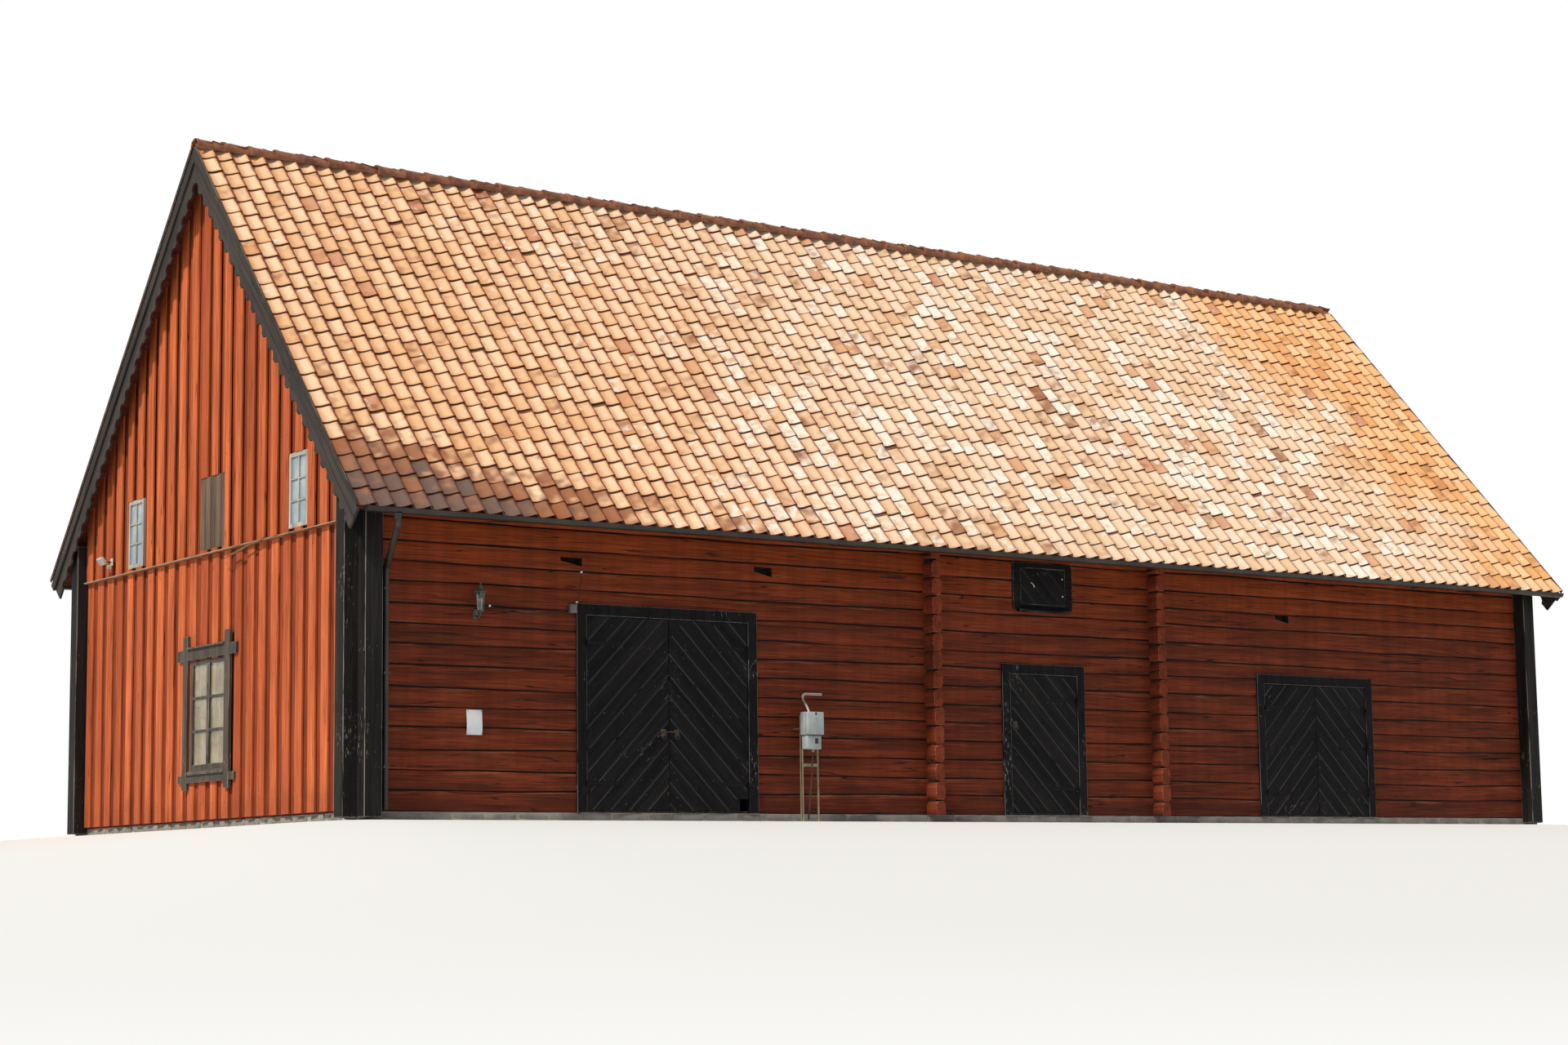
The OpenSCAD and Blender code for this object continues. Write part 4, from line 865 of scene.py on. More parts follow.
def blocks(name, boxes):
    """Boxes as one pattern; a seventh number lifts a box's low left edge, which makes a wedge."""
    points, faces = [], []
    for x0, x1, y0, y1, z0, z1, *lift in boxes:
        n = len(points)
        points += [(x, y, z + sum(lift) * (x == x0 and z == z0)) for x in (x0, x1) for y in (y0, y1)
                   for z in (z0, z1)]
        faces += [tuple(n + i for i in f) for f in ((0, 1, 3, 2), (4, 6, 7, 5), (0, 4, 5, 1), (2, 3, 7, 6),
                                                    (0, 2, 6, 4), (1, 5, 7, 3))]
    return pattern(name, points, faces)


doorways = ((-7.10, -4.69, 2.53), (-0.35, 0.85, 2.025), (4.46, 6.56, 2.035))
hatch_hole = (-0.13, 0.67, -4.6, -3.9, 3.0, 3.5)
slots = [(-7.46, -7.15, 3.1325, 3.2375), (-4.5625, -4.2875, 3.15, 3.27), (4.7625, 5.0275, 2.945, 3.065)]
lining, slot_back, wedge = 0.04, -4.13, 0.055
cuts = [(a - lining, b + lining, -4.6, -3.9, -0.1, top + lining) for a, b, top in doorways] + [hatch_hole]
cuts += [(x0, x1, -4.6, slot_back, z0, z1, wedge) for x0, x1, z0, z1 in slots]
front_holes = blocks("front_holes", cuts)
back_holes = blocks("back_holes", [(0.0, 0.01, 6.0, 6.01, 0.0, 0.01)])
for name, side, wall_face, steps, holes, seed, nodes in (
        ("front_log_wall", 1.0, -4.25, 250, front_holes, 2, ("front_wall_piers", "front_wall_over_doors")),
        ("back_log_wall", -1.0, 4.25, 170, back_holes, 9, ("back_wall",))):
    points, edges = log_outline(side)
    mesh = grow(hewn_wall, "log_red", Outline=pattern(name + "_outline", points, [], edges), Openings=holes,
                Half_Length=10.385, Face=wall_face, Steps=steps, Course=course, Footing=footing, Seed=seed)
    box = np.array([v.co for v in mesh.vertices])
    print(name, "box", box.min(0).round(3), box.max(0).round(3))
    # The faces inside the vent slots take a near-black finish: painted shade in the slots.
    mesh.materials.append(finishes["slot_dark"])
    for face in mesh.polygons:
        spot = face.center
        if -4.235 < spot.y < slot_back + 0.01 and any(x0 < spot.x < x1 + 0.01 and z0 < spot.z < z1 + 0.01
                                                      for x0, x1, z0, z1 in slots):
            face.material_index = len(mesh.materials) - 1
    hand_over(name, mesh, instead=nodes)

# %% [markdown]
# ## Boards cut to a shape
# The gables, the door leaves and the hatches are all covered with boards. One tree lays a row of boards
# side by side, each a little out of line, and keeps only what lies inside the solid from the frame, so
# the boards end exactly at the roof, the openings and a leaf's edges. Each board then gets its own tone.

# %% Tree that lays boards inside a solid
given = new_tree("board_laying", Solid="Object", Count="Int", Board_Size="Vector", Spacing="Float",
                 Slant="Float", Place="Vector", Turn="Float", Jitter="Float", Wander="Float", Seed="Int")
start = xyz((given["Count"] - 1.0) * given["Spacing"] * -0.5)
spots = row_of(given["Count"], start, xyz(given["Spacing"]))
sideways = chance(-1.0, 1.0, given["Seed"])
spots = moved(spots, sideways * given["Jitter"])
board = geo("MeshCube", {"Size": given["Board Size"], "Vertices Z": 15})
laid = geo("InstanceOnPoints", {"Points": spots, "Instance": board,
                                "Rotation": xyz(None, sideways * 0.0025, chance(-0.03, 0.03, 32))})
laid = geo("RealizeInstances", {"Geometry": laid})
spot = geo("InputPosition")
crook = cloud(vector_calc("ADD", stretched(spot, 2.6, 0.0, 0.8), xyz(y=given["Seed"])), 1.0, 2.0)
laid = moved(laid, (crook - 0.5) * given["Wander"])
laid = geo("Transform", {"Geometry": laid, "Rotation": xyz(y=given["Slant"])})
laid = geo("Transform", {"Geometry": laid, "Translation": given["Place"], "Rotation": xyz(z=given["Turn"])})
shape = geo("MergeByDistance", {"Geometry": shape_of("Solid"), "Distance": 0.00001})
kept = geo("MeshBoolean", {"Mesh 2": [laid, shape]}, operation="INTERSECT", solver="EXACT")
kept = note(kept, "tone", chance(0.0, 1.0, given["Seed"], geo("InputMeshIsland")))
board_laying = end_tree(kept)


def lay_boards(solid, count, size, spacing, place, seed, finish="board_red", **more):
    return grow(board_laying, finish, Solid=solid, Count=count, Board_Size=size, Spacing=spacing,
                Place=place, Seed=seed, **more)


def joined(meshes):
    """Several meshes as one, with their finishes and attributes kept."""
    parts = [new_object("part", mesh) for mesh in meshes]
    with bpy.context.temp_override(active_object=parts[0], selected_editable_objects=parts,
                                   selected_objects=parts):
        bpy.ops.object.join()
    mesh = parts[0].data
    bpy.data.objects.remove(parts[0])
    return mesh


def slants(edge):
    """True for a long edge that lies at 45 degrees, as between two slanting boards."""
    run = edge.verts[1].co - edge.verts[0].co
    return abs(run.x) > 0.08 and abs(abs(run.x) - abs(run.z)) < 0.01


def bevel_boards(mesh, width, wanted=None):
    skin = bmesh.new()
    skin.from_mesh(mesh)
    bevel_corners(skin, width, profile=0.0, wanted=wanted)
    return as_mesh(skin, mesh)


# %% [markdown]
# ## Board cladding on the gables
# The gables carry two tiers of upright boards on boards: wide under boards with gaps, and cover boards
# nailed over the gaps. The under boards take a darker copy of the red paint, painted shade where the
# cover boards shadow them. The edges wander, since the boards are sawn from crooked trunks.

# %% Under boards and cover boards on both gables
gable_ends = ((-1, -math.pi / 2), (1, math.pi / 2))
board_pitch, board_long, gable_mid = 0.352, 11.0, (0.05, 4.5)
crooked = dict(Jitter=0.012, Wander=0.03)
for tier, outer, thick in (("lower", 10.26, 0.06), ("upper", 10.285, 0.085)):
    meshes = []
    solid = solids[tier + "_cladding"]
    for end, turn in gable_ends:
        under = outer - thick / 2 - 0.008 - 0.006
        meshes.append(lay_boards(solid, 24, (0.232, 0.028, board_long), board_pitch,
                                 (end * under, *gable_mid), 40 + end, "board_shade", Turn=turn, **crooked))
        meshes.append(lay_boards(solid, 25, (0.200, 0.024, board_long), board_pitch,
                                 (end * (outer - 0.0135), *gable_mid), 50 + end, Turn=turn, **crooked))
    hand_over(tier + "_boards", joined(meshes), instead=(tier + "_cladding",))

# %% [markdown]
# ## Door leaves
# The leaves are covered with tarred boards on the slant. On a double door they rise towards the middle,
# on the single door they fall to the right. Behind them lies the leaf's backing with its ledges, taken
# from the frame's solid and moved back to make room.

# %% Slanting boards and backing of each leaf
def backing(node, back_to):
    skin = merged_copy(node)
    front = min(v.co.y for v in skin.verts)
    for v in skin.verts:
        if v.co.y < front + 0.001:
            v.co.y = back_to
    skin.faces.layers.float.new("edge_wear")
    return as_mesh(skin, node + "_backing", "tar_upright")


eighth = math.radians(45)
slant_of = {"tar_rising": eighth, "tar_falling": -eighth}
leaf_front, leaf_board, backing_face = -4.2697, (0.184, 0.0195, 5.0), -4.2495
leaves = {"door_1_left": "tar_rising", "door_1_right": "tar_falling", "door_2": "tar_falling",
          "door_3_left": "tar_rising", "door_3_right": "tar_falling"}
for i, (leaf, finish) in enumerate(leaves.items()):
    low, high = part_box(leaf + "_leaf")
    centre = (low + high) / 2
    boards = lay_boards(solids[leaf + "_leaf"], 21, leaf_board, 0.189,
                        (centre.x, leaf_front + 0.0099, centre.z + 0.03 * i), 60 + i, finish,
                        Slant=slant_of[finish])
    # The long slanting edges get bevels that take the pale worn colour: rubbed wear and a painted
    # highlight.
    bevel_boards(boards, 0.008, slants)
    hand_over(leaf + "_boards", joined([boards, backing(leaf + "_leaf", backing_face)]),
              leaf, (leaf + "_leaf",))
    irons = soften(leaf + "_straps", "tar_iron", 0.0012, leaf, "_irons").data
    irons.materials.append(finishes["rusty_iron"])
    for face in irons.polygons:
        if low.z + 0.6 < face.center.z < high.z - 0.6:
            face.material_index = 1

# %% [markdown]
# ## Black casings, corner boxes and hatches
# Boxed corners, door casings and the hatch are tarred boards. The corner boxes have upright fibres, the
# casings' long boards too. Their rubbed corners show pale wood.

# %% Soften the black boards
soften("corner_boards", "tar_corner", 0.008)
soften("door_frames", "tar_upright")
soften("hinge_pins", "tar_iron", 0.0012)
soften("lower_windows", "trim_wood")
soften("upper_windows", "sash_paint", 0.003)

# %% [markdown]
# ## Shapes for small things
# Fixtures are turned, bent or boxed. Short helpers give points and faces for such shapes, all from one
# skin through a row of rings. Another gathers shapes into a mesh, rounds the corners and turns the faces
# outward.

# %% Helpers for turned, bent and boxed shapes
def loft(rings):
    size = len(rings[0])
    points = [tuple(p) for ring in rings for p in ring]
    faces = [(r * size + i, r * size + (i + 1) % size, (r + 1) * size + (i + 1) % size, (r + 1) * size + i)
             for r in range(len(rings) - 1) for i in range(size)]
    return points, faces + [tuple(range(size)), tuple(range(len(points) - size, len(points)))]


def circle(sides):
    return [2 * math.pi * k / sides for k in range(sides)]


def tube(path, radius, sides=8):
    """A bar, pipe or cable along a path, with one radius or one for each point."""
    path = [Vector(p) for p in path]
    radii = radius if isinstance(radius, list) else [radius] * len(path)
    rings, side = [], None
    for i, (here, r) in enumerate(zip(path, radii)):
        onward = (path[min(i + 1, len(path) - 1)] - path[max(i - 1, 0)]).normalized()
        side = onward.orthogonal() if side is None else side - onward * side.dot(onward)
        side.normalize()
        up = onward.cross(side)
        rings.append([here + r * (math.cos(a) * side + math.sin(a) * up) for a in circle(sides)])
    return loft(rings)


def lathed(profile, middle=(0, 0, 0), sides=24):
    """A lathe shape: pairs of radius and height, from its foot to its top."""
    x, y, z = middle
    return loft([[(x + r * math.cos(a), y + r * math.sin(a), z + h) for a in circle(sides)]
                 for r, h in profile])


def brick(x0, x1, y0, y1, z0, z1):
    return loft([[(x0, y0, z), (x1, y0, z), (x1, y1, z), (x0, y1, z)] for z in (z0, z1)])


def bow(start, way, end, steps=10):
    """Points on a smooth bow from start to end, drawn towards the point way."""
    a, b, c = Vector(start), Vector(way), Vector(end)
    shares = [i / steps for i in range(steps + 1)]
    return [(1 - t) ** 2 * a + 2 * t * (1 - t) * b + t * t * c for t in shares]


def part_mesh(shapes, finish=None, width=0.0, sides=1):
    skin = bmesh.new()
    for points, faces in shapes:
        made = [skin.verts.new(p) for p in points]
        for face in faces:
            skin.faces.new([made[i] for i in face])
    bmesh.ops.recalc_face_normals(skin, faces=skin.faces)
    if width:
        bevel_corners(skin, width, sides)
    mesh = as_mesh(skin, "part", finish)
    smoothed(mesh, mesh.polygons, 40)
    return mesh


def shape_pattern(name, shapes, width=0.0, sides=1):
    return keep_pattern(name, part_mesh(shapes, None, width, sides))


def mirrored(mesh):
    """The mesh and its mirror image on the other gable, as one mesh."""
    other = mesh.copy()
    other.transform(Matrix.Diagonal((-1, 1, 1, 1)))
    other.flip_normals()
    return joined([mesh, other])


def shift(*place):
    return Matrix.Translation(place)


def spin(angle, axis):
    return Matrix.Rotation(angle, 4, axis)


quarter = math.pi / 2
print("a bow has", len(bow((0, 0, 0), (1, 0, 0), (1, 1, 0))), "points")

# %% Tree that repeats a shape along a line
given = new_tree("row_laying", Shape="Object", Count="Int", Start="Vector", Spacing="Vector", Rows="Int",
                 Row_Spacing="Vector", Jitter="Float", Swing="Float", Size_Change="Float", Seed="Int")


def draws(strength, first):
    """Three draws from -1 to 1, each from a seed of its own, times a strength."""
    return [chance(-1.0, 1.0, given["Seed"] + float(k)) * given[strength] for k in range(first, first + 3)]


line = row_of(given["Count"], given["Start"], given["Spacing"])
field = geo("InstanceOnPoints", {"Points": row_of(given["Rows"], None, given["Row Spacing"]),
                                 "Instance": line})
field = moved(geo("RealizeInstances", {"Geometry": field}), *draws("Jitter", 0))
swing = draws("Swing", 3)
growth = [1.0 + draw for draw in draws("Size Change", 6)]
row_laying = end_tree(geo("InstanceOnPoints", {"Points": field, "Instance": shape_of("Shape"),
                                               "Rotation": xyz(*swing), "Scale": xyz(*growth)}))


def lay_row(shape, finish, count, start, spacing, Rows=1, Seed=1, **more):
    return grow(row_laying, finish, Shape=shape, Count=count, Start=start, Spacing=spacing, Rows=Rows,
                Seed=Seed, **more)


# %% [markdown]
# ## Columns of log ends
# Where a cross wall meets the long wall, its log ends stand out in a column. Each is hewn to eight sides,
# so notches show between them. One block with cut corners is repeated up a column, a little out of line
# each time, in front of a near-black core that fills the joints: painted shade between the log ends.

# %% Log ends in four columns
end_low, end_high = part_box("log_end_columns")
half_w, half_h, cut_w, cut_h, reach_out = 0.079, 0.113, 0.030, 0.042, 0.106
core_half, core_back, core_front, cross_drop = 0.047, 4.24, 4.385, 0.062
corners = [(-half_w + cut_w, -half_h), (half_w - cut_w, -half_h), (half_w, -half_h + cut_h),
           (half_w, half_h - cut_h), (half_w - cut_w, half_h), (-half_w + cut_w, half_h),
           (-half_w, half_h - cut_h), (-half_w, -half_h + cut_h)]
end_rings = [[(x, y, z) for x, z in corners] for y in (-reach_out, reach_out)]
log_end = shape_pattern("log_end", [loft(end_rings)], 0.005)
meshes = []
for column_x in (-1.732, 2.311):
    for side in (-1, 1):
        first = (column_x, side * (end_high.y - reach_out), footing - cross_drop + course / 2)
        meshes.append(lay_row(log_end, "end_red", 17, first, (0, 0, course), Jitter=0.006, Swing=0.022,
                              Size_Change=0.03, Seed=int(90 + column_x + side)))
        # A near-black core behind each column: painted shade between the log ends.
        meshes.append(part_mesh([brick(column_x - core_half, column_x + core_half, side * core_back,
                                       side * core_front, end_low.z, end_high.z - 0.02)], "slot_dark"))
mesh = joined(meshes)
for v in mesh.vertices:
    v.co.z = min(max(v.co.z, end_low.z), end_high.z)
hand_over("log_ends", mesh, instead=("log_end_columns",))

# %% [markdown]
# ## Window bars and what is behind the panes
# The lower windows have two lights with two cross bars each, and pale boards are packed behind the glass.
# The upper ones have an upright bar and two cross bars. The bars are slim moulded strips in front of the
# panes, so a bevelled strip is repeated by the row tree.

# %% Bars and packing boards
low_mid, low_half, low_foot, low_head = -0.125, 0.485, 0.83, 2.12
cross_bar = shape_pattern("cross_bar", [brick(-0.010, 0.010, -low_half, low_half, -0.018, 0.018)], 0.004)
middle_bar = shape_pattern("middle_bar", [brick(-0.012, 0.012, -0.038, 0.038, low_foot, low_head),
                                          brick(-0.018, 0.0, -0.012, 0.012, low_foot, low_head)], 0.004)
light = (low_head - low_foot) / 3
mesh = joined([
    lay_row(cross_bar, "trim_wood", 2, (-10.254, low_mid, low_foot + light), (0, 0, light), Jitter=0.002),
    lay_row(middle_bar, "trim_wood", 1, (-10.256, low_mid, 0), (0, 0, 0))])
hand_over("lower_window_bars", mirrored(mesh))

luck = random.Random(5)
packing_x, packing_wide, board_gap, boards = 10.232, 0.202, 0.002, []
edges = [low_mid - low_half - 0.02 + i * packing_wide for i in range(6)]
for side in (-1, 1):
    for left, right in zip(edges, edges[1:]):
        cut = 1.25 + luck.uniform(-0.25, 0.5)
        for low, high in ((low_foot - 0.02, cut - 0.003), (cut + 0.003, low_head + 0.02)):
            board = part_mesh([brick(side * packing_x, side * (10.224 + luck.uniform(-0.002, 0.002)),
                                     left + board_gap, right - board_gap, low, high)],
                              "packing_board", 0.0015)
            tone = board.attributes.new("tone", "FLOAT", "FACE")
            tone.data.foreach_set("value", [luck.random()] * len(board.polygons))
            boards.append(board)
hand_over("packing_boards", joined(boards))

high_half, high_foot, high_head = 0.205, 3.655, 4.475
light = (high_head - high_foot) / 3
slim_bar = shape_pattern("slim_bar", [brick(-0.007, 0.007, -high_half, high_half, -0.010, 0.010)], 0.003)
upright = brick(-0.008, 0.008, -0.012, 0.012, high_foot, high_head)
slim_upright = shape_pattern("slim_upright", [upright], 0.003)
meshes = []
for middle_y in (-2.745, 2.305):
    meshes.append(lay_row(slim_bar, "sash_paint", 2, (-10.264, middle_y, high_foot + light), (0, 0, light),
                          Jitter=0.002))
    meshes.append(lay_row(slim_upright, "sash_paint", 1, (-10.265, middle_y, 0), (0, 0, 0)))
hand_over("upper_window_bars", mirrored(joined(meshes)))

# %% [markdown]
# ## Hatches
# The hatch over the single door is made like the doors, with boards on the slant inside a flat frame. The
# gable hatch is closed with upright grey boards, held by two rows of nails.

# %% Boards on the hatches
hatch_zone = blocks("hatch_zone", [(-0.125, 0.665, -4.281, -4.266, 3.004, 3.496)])
slats = lay_boards(hatch_zone, 9, (0.160, 0.014, 2.0), 0.166, (0.27, -4.274, 3.22), 71, "tar_falling",
                   Slant=-eighth)
soften("wall_hatch", "tar_level")
# The slats' bevels take the pale worn colour too: rubbed wear and a painted highlight, as on the doors.
hand_over("wall_hatch_boards", bevel_boards(slats, 0.008))
hook_path = bow((0.06, -4.279, 3.30), (0.07, -4.33, 3.27), (0.115, -4.283, 3.235))
hook = part_mesh([tube(hook_path, 0.006)], "porcelain")
screw_profile = [(0.0, 0.0), (0.013, 0.001), (0.011, 0.006), (0.004, 0.009)]
screw = shape_pattern("screw_head", [lathed(screw_profile, sides=10)])
screws = lay_row(screw, "porcelain", 2, (0.0, 0.0, 0.0), (0.24, 0, 0))
screws.transform(shift(0.625, -4.278, 3.13) @ spin(-quarter, "Y") @ spin(quarter, "X"))
hand_over("hatch_fittings", joined([hook, screws]))

grey_boards = [lay_boards(solids["loft_hatches"], 5, (0.146, 0.020, 2.2), 0.155,
                          (end * 10.259, end * 0.22, 4.1), 80 + end, "grey_board", Turn=turn,
                          Jitter=0.004, Wander=0.012) for end, turn in gable_ends]
skin = merged_copy("loft_hatches")
for v in skin.verts:
    v.co.x = math.copysign(min(abs(v.co.x), 10.248), v.co.x)
back = as_mesh(skin, "hatch_back", "grey_board")
hand_over("loft_hatch_boards", joined([bevel_boards(joined(grey_boards), 0.003), back]),
          instead=("loft_hatches",))

# %% [markdown]
# ## Nails
# Nails hold the cover boards, the hatch boards and the boards of the leaves, which are nailed to the ledges
# behind. A nail head is a low dome of a few faces, because hundreds are laid.

# %% Nail heads in rows
nail_profile = [(0.0, 0.0), (0.0075, 0.0), (0.005, 0.003), (0.001, 0.004)]
nail_x, nail_y = (shape_pattern(name, [lathed(nail_profile, sides=6)])
                  for name in ("nail_out", "nail_front"))
nail_x.data.transform(spin(-quarter, "Y"))
nail_y.data.transform(spin(quarter, "X"))
meshes = []
for outer, first, count, level in ((10.2605, -3.82, 23, 0.32), (10.2605, -3.82, 23, 3.36),
                                   (10.2605, -3.82, 8, 1.85), (10.2605, 1.11, 8, 1.85),
                                   (10.2855, -3.12, 19, 4.78), (10.2855, -1.71, 11, 6.45)):
    meshes.append(lay_row(nail_x, "rusty_iron", count, (-outer, first, level), (0, board_pitch, 0),
                          Jitter=0.001, Seed=int(10 * level)))
meshes.append(lay_row(nail_x, "rusty_iron", 5, (-10.2705, -0.53, 3.78), (0, 0.155, 0), 2, 6,
                      Row_Spacing=(0, 0, 0.58), Jitter=0.001))
hand_over("gable_nails", mirrored(joined(meshes)))
nail_pitch, nail_margin, ledge_off = 0.135, 0.16, 0.33
for leaf in leaves:
    low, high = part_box(leaf + "_leaf")
    count = int((high.x - low.x - nail_margin) / nail_pitch)
    levels = (low.z + ledge_off + 0.045, (low.z + high.z) / 2, high.z - ledge_off - 0.045)
    meshes = [lay_row(nail_y, "rusty_iron", count, (low.x + 0.11, -4.2698, level),
                      (nail_pitch, 0, 0), Jitter=0.001, Seed=7 + k) for k, level in enumerate(levels)]
    hand_over(leaf + "_nails", joined(meshes), leaf)

# %% [markdown]
# ## Rings on the latches
# A forged ring hangs on each latch boss. It is a thin bar bent to a circle, so a tube along a circle does.

# %% Latch rings and the hasp
def ring(x, z, radius=0.036, thick=0.005):
    path = [(x + radius * math.sin(a), -4.290, z + radius * math.cos(a))
            for a in (2 * math.pi * i / 20 for i in range(21))]
    return tube(path, thick, 6)


hasp = bow((-5.80, -4.288, 1.112), (-5.88, -4.312, 1.118), (-5.955, -4.287, 1.105), 8)
latches = {"door_1_left": [ring(-5.985, 1.062)],
           "door_1_right": [ring(-5.785, 1.062), tube(hasp, 0.007, 6)],
           "door_2": [ring(-0.28, 1.292)]}
for leaf, shapes in latches.items():
    hand_over(leaf + "_ring", part_mesh(shapes, "rusty_iron"), leaf)

# %% [markdown]
# ## Gutter straps, joints and pipe collars
# Sheet straps hold the gutter at every bracket, sleeves join its lengths, and rings join the pieces of the
# downspout. The strap is a half ring, swept round the gutter's round.

# %% Straps, sleeves and collars
def half_ring(inner, outer, width):
    rings = []
    for i in range(13):
        a = math.pi * (1 + i / 12)
        rings.append([(x, r * math.cos(a), r * math.sin(a)) for x, r in (
            (-width / 2, inner), (width / 2, inner), (width / 2, outer), (-width / 2, outer))])
    return loft(rings)


gutter_y, gutter_z, strap_pitch, sleeve_pitch = 4.855, 3.5994, 1.69833, 3.45
strap = shape_pattern("gutter_strap", [half_ring(0.0645, 0.0672, 0.024),
                                       brick(-0.012, 0.012, -0.0672, 0.066, -0.002, 0.001)])
sleeve = shape_pattern("gutter_sleeve", [half_ring(0.0645, 0.0668, 0.07)])
collar = [(0.030, 0.0), (0.0405, 0.0), (0.0415, 0.006), (0.0415, 0.034), (0.0405, 0.04), (0.030, 0.04)]
funnel = [(0.030, 0.0), (0.042, 0.0), (0.046, 0.05), (0.056, 0.07), (0.056, 0.078), (0.030, 0.078)]
meshes, collars = [], []
for side in (-1, 1):
    meshes.append(lay_row(strap, "gutter_black", 13, (-10.19, side * gutter_y, gutter_z),
                          (strap_pitch, 0, 0), Jitter=0.0008))
    meshes.append(lay_row(sleeve, "gutter_black", 5, (-6.9, side * gutter_y, gutter_z),
                          (sleeve_pitch, 0, 0)))
    for level in (0.615, 1.715, 2.715, 2.93):
        collars.append(lathed(collar, (-9.887, side * 4.3275, level - 0.02), 20))
    collars.append(lathed(funnel, (-10.01, side * gutter_y, 3.462), 20))
hand_over("gutter_straps", joined(meshes))
hand_over("downspout_collars", part_mesh(collars, "gutter_black"))

# %% [markdown]
# ## The wall lantern
# A small cast lantern hangs free on a curved arm. Six sloped bars hold six panes over a foot with a drop,
# under a flared six-sided hat with a spike. Old green paint is chalky, with paler, duller spots.

# %% Lantern
lamp_x, lamp_y, lamp_foot, lamp_head = -8.65, -4.38, 2.50, 2.728
foot, top = (lamp_x, lamp_y, lamp_foot), (lamp_x, lamp_y, lamp_head)
hat = [(0.083, 0.0), (0.084, 0.006), (0.070, 0.012), (0.052, 0.024), (0.038, 0.040), (0.027, 0.058),
       (0.021, 0.074)]
spike = [(0.021, 0.072), (0.024, 0.080), (0.012, 0.086), (0.008, 0.094), (0.015, 0.104), (0.006, 0.114),
         (0.003, 0.131)]
drop = [(0.002, -0.062), (0.010, -0.052), (0.006, -0.042), (0.016, -0.030), (0.010, -0.018),
        (0.030, -0.006), (0.046, 0.0), (0.046, 0.010), (0.036, 0.012)]
rim_band = [(0.060, -0.010), (0.068, -0.006), (0.068, 0.002), (0.050, 0.004)]
bar_ends, shapes = ((0.040, lamp_foot), (0.061, lamp_head)), []
for k in range(6):
    c, s = math.cos(k * math.pi / 3), math.sin(k * math.pi / 3)
    shapes.append(tube([(lamp_x + r * c, lamp_y + r * s, z) for r, z in bar_ends], 0.0042, 6))
shapes += [lathed(hat, top, 6), lathed(spike, top, 12), lathed(drop, foot, 12), lathed(rim_band, top, 6)]
arm = bow((lamp_x, lamp_y, lamp_foot - 0.03), (lamp_x, -4.36, lamp_foot - 0.10),
          (lamp_x, -4.262, lamp_foot - 0.05))
curl = [(lamp_x, -4.30 - 0.022 * math.cos(a), 2.437 + 0.020 * math.sin(a))
        for a in (0.5 * i for i in range(11))]
shapes += [tube(arm, 0.009, 10), tube(curl, 0.005, 8)]
plate_profile = [(0.0, 0.0), (0.036, 0.0), (0.034, 0.010), (0.014, 0.014)]
plate = part_mesh([lathed(plate_profile, sides=20)], "green_metal")
plate.transform(shift(lamp_x, -4.250, 2.47) @ spin(quarter, "X") @ Matrix.Diagonal((1.0, 1.75, 1.0, 1.0)))
panes = part_mesh([lathed([(0.036, 0.004), (0.057, lamp_head - lamp_foot - 0.004)], foot, 6)], "lower_pane")
bulb = part_mesh([lathed([(0.010, 0.0), (0.011, 0.08), (0.020, 0.10), (0.022, 0.125), (0.012, 0.145)],
                         (lamp_x, lamp_y, lamp_foot + 0.012), 12)], "lamp_white")
hand_over("lantern", joined([part_mesh(shapes, "green_metal"), plate, panes, bulb]),
          instead=("wall_lantern",))

# %% [markdown]
# ## Cable, junction box and notice plate
# A thin cable runs from the lantern over a white insulator and sags to a small grey box beside the wide
# doorway; from there it climbs into the first vent slot. It is fixed along the wall, so it is no free cord.
# The notice beside it is a plain white plate on four pins.

# %% Small things on the door side
face_y, cable_thick = -4.256, 0.004
sag = [(-8.457 + 1.112 * t, face_y - 0.004, 2.581 + 0.019 * t - 0.36 * t * (1 - t))
       for t in (i / 14 for i in range(15))]
climb = bow((-7.25, face_y, 2.668), (-7.165, face_y, 2.75), (-7.160, face_y, 3.02))
climb.append((-7.158, -4.20, 3.16))
from_lamp = [(lamp_x, face_y, 2.49), (-8.56, face_y, 2.56), (-8.457, face_y, 2.581)]
cables = part_mesh([tube(path, cable_thick, 6) for path in (from_lamp, sag, climb)], "cable_dark")
bead_depths, bead_radii = (-4.245, -4.258, -4.268, -4.272), [0.012, 0.016, 0.014, 0.008]
bead_places = ((-8.457, 2.583), (-7.232, 2.683), (-7.163, 3.062))
beads = part_mesh([tube([(x, y, z) for y in bead_depths], bead_radii, 12) for x, z in bead_places],
                  "porcelain")
box = part_mesh([brick(-7.345, -7.250, -4.298, -4.246, 2.545, 2.655),
                 brick(-7.338, -7.257, -4.302, -4.297, 2.552, 2.648)], "box_dark", 0.004, 2)
hand_over("cable_and_box", joined([cables, beads, box]))

sheet_rings = []
for i in range(9):
    t = i / 8
    bulge = 0.006 * math.sin(math.pi * t) + 0.004 * math.sin(5 * t)
    sheet_rings.append([(x, -4.262 - bulge + deep, 1.02 + 0.30 * t) for x, deep in (
        (-8.77, 0), (-8.56, 0.002), (-8.56, 0.006), (-8.77, 0.004))])
pins = part_mesh([tube([(x, -4.255, z), (x, -4.268, z)], 0.004, 8) for x in (-8.757, -8.573)
                  for z in (1.034, 1.306)], "rusty_iron")
hand_over("notice_plate", joined([part_mesh([loft(sheet_rings)], "notice_white"), pins]))

# %% [markdown]
# ## Meter boxes on their stand
# Two grey sheet boxes stand on a pair of perforated legs, tied to the wall. Two pale conduits leave the
# upper box, bend to the wall and go into a seam. The leg's holes are real: it is cut from a strip with a
# row of round cutters, which the row tree lays.

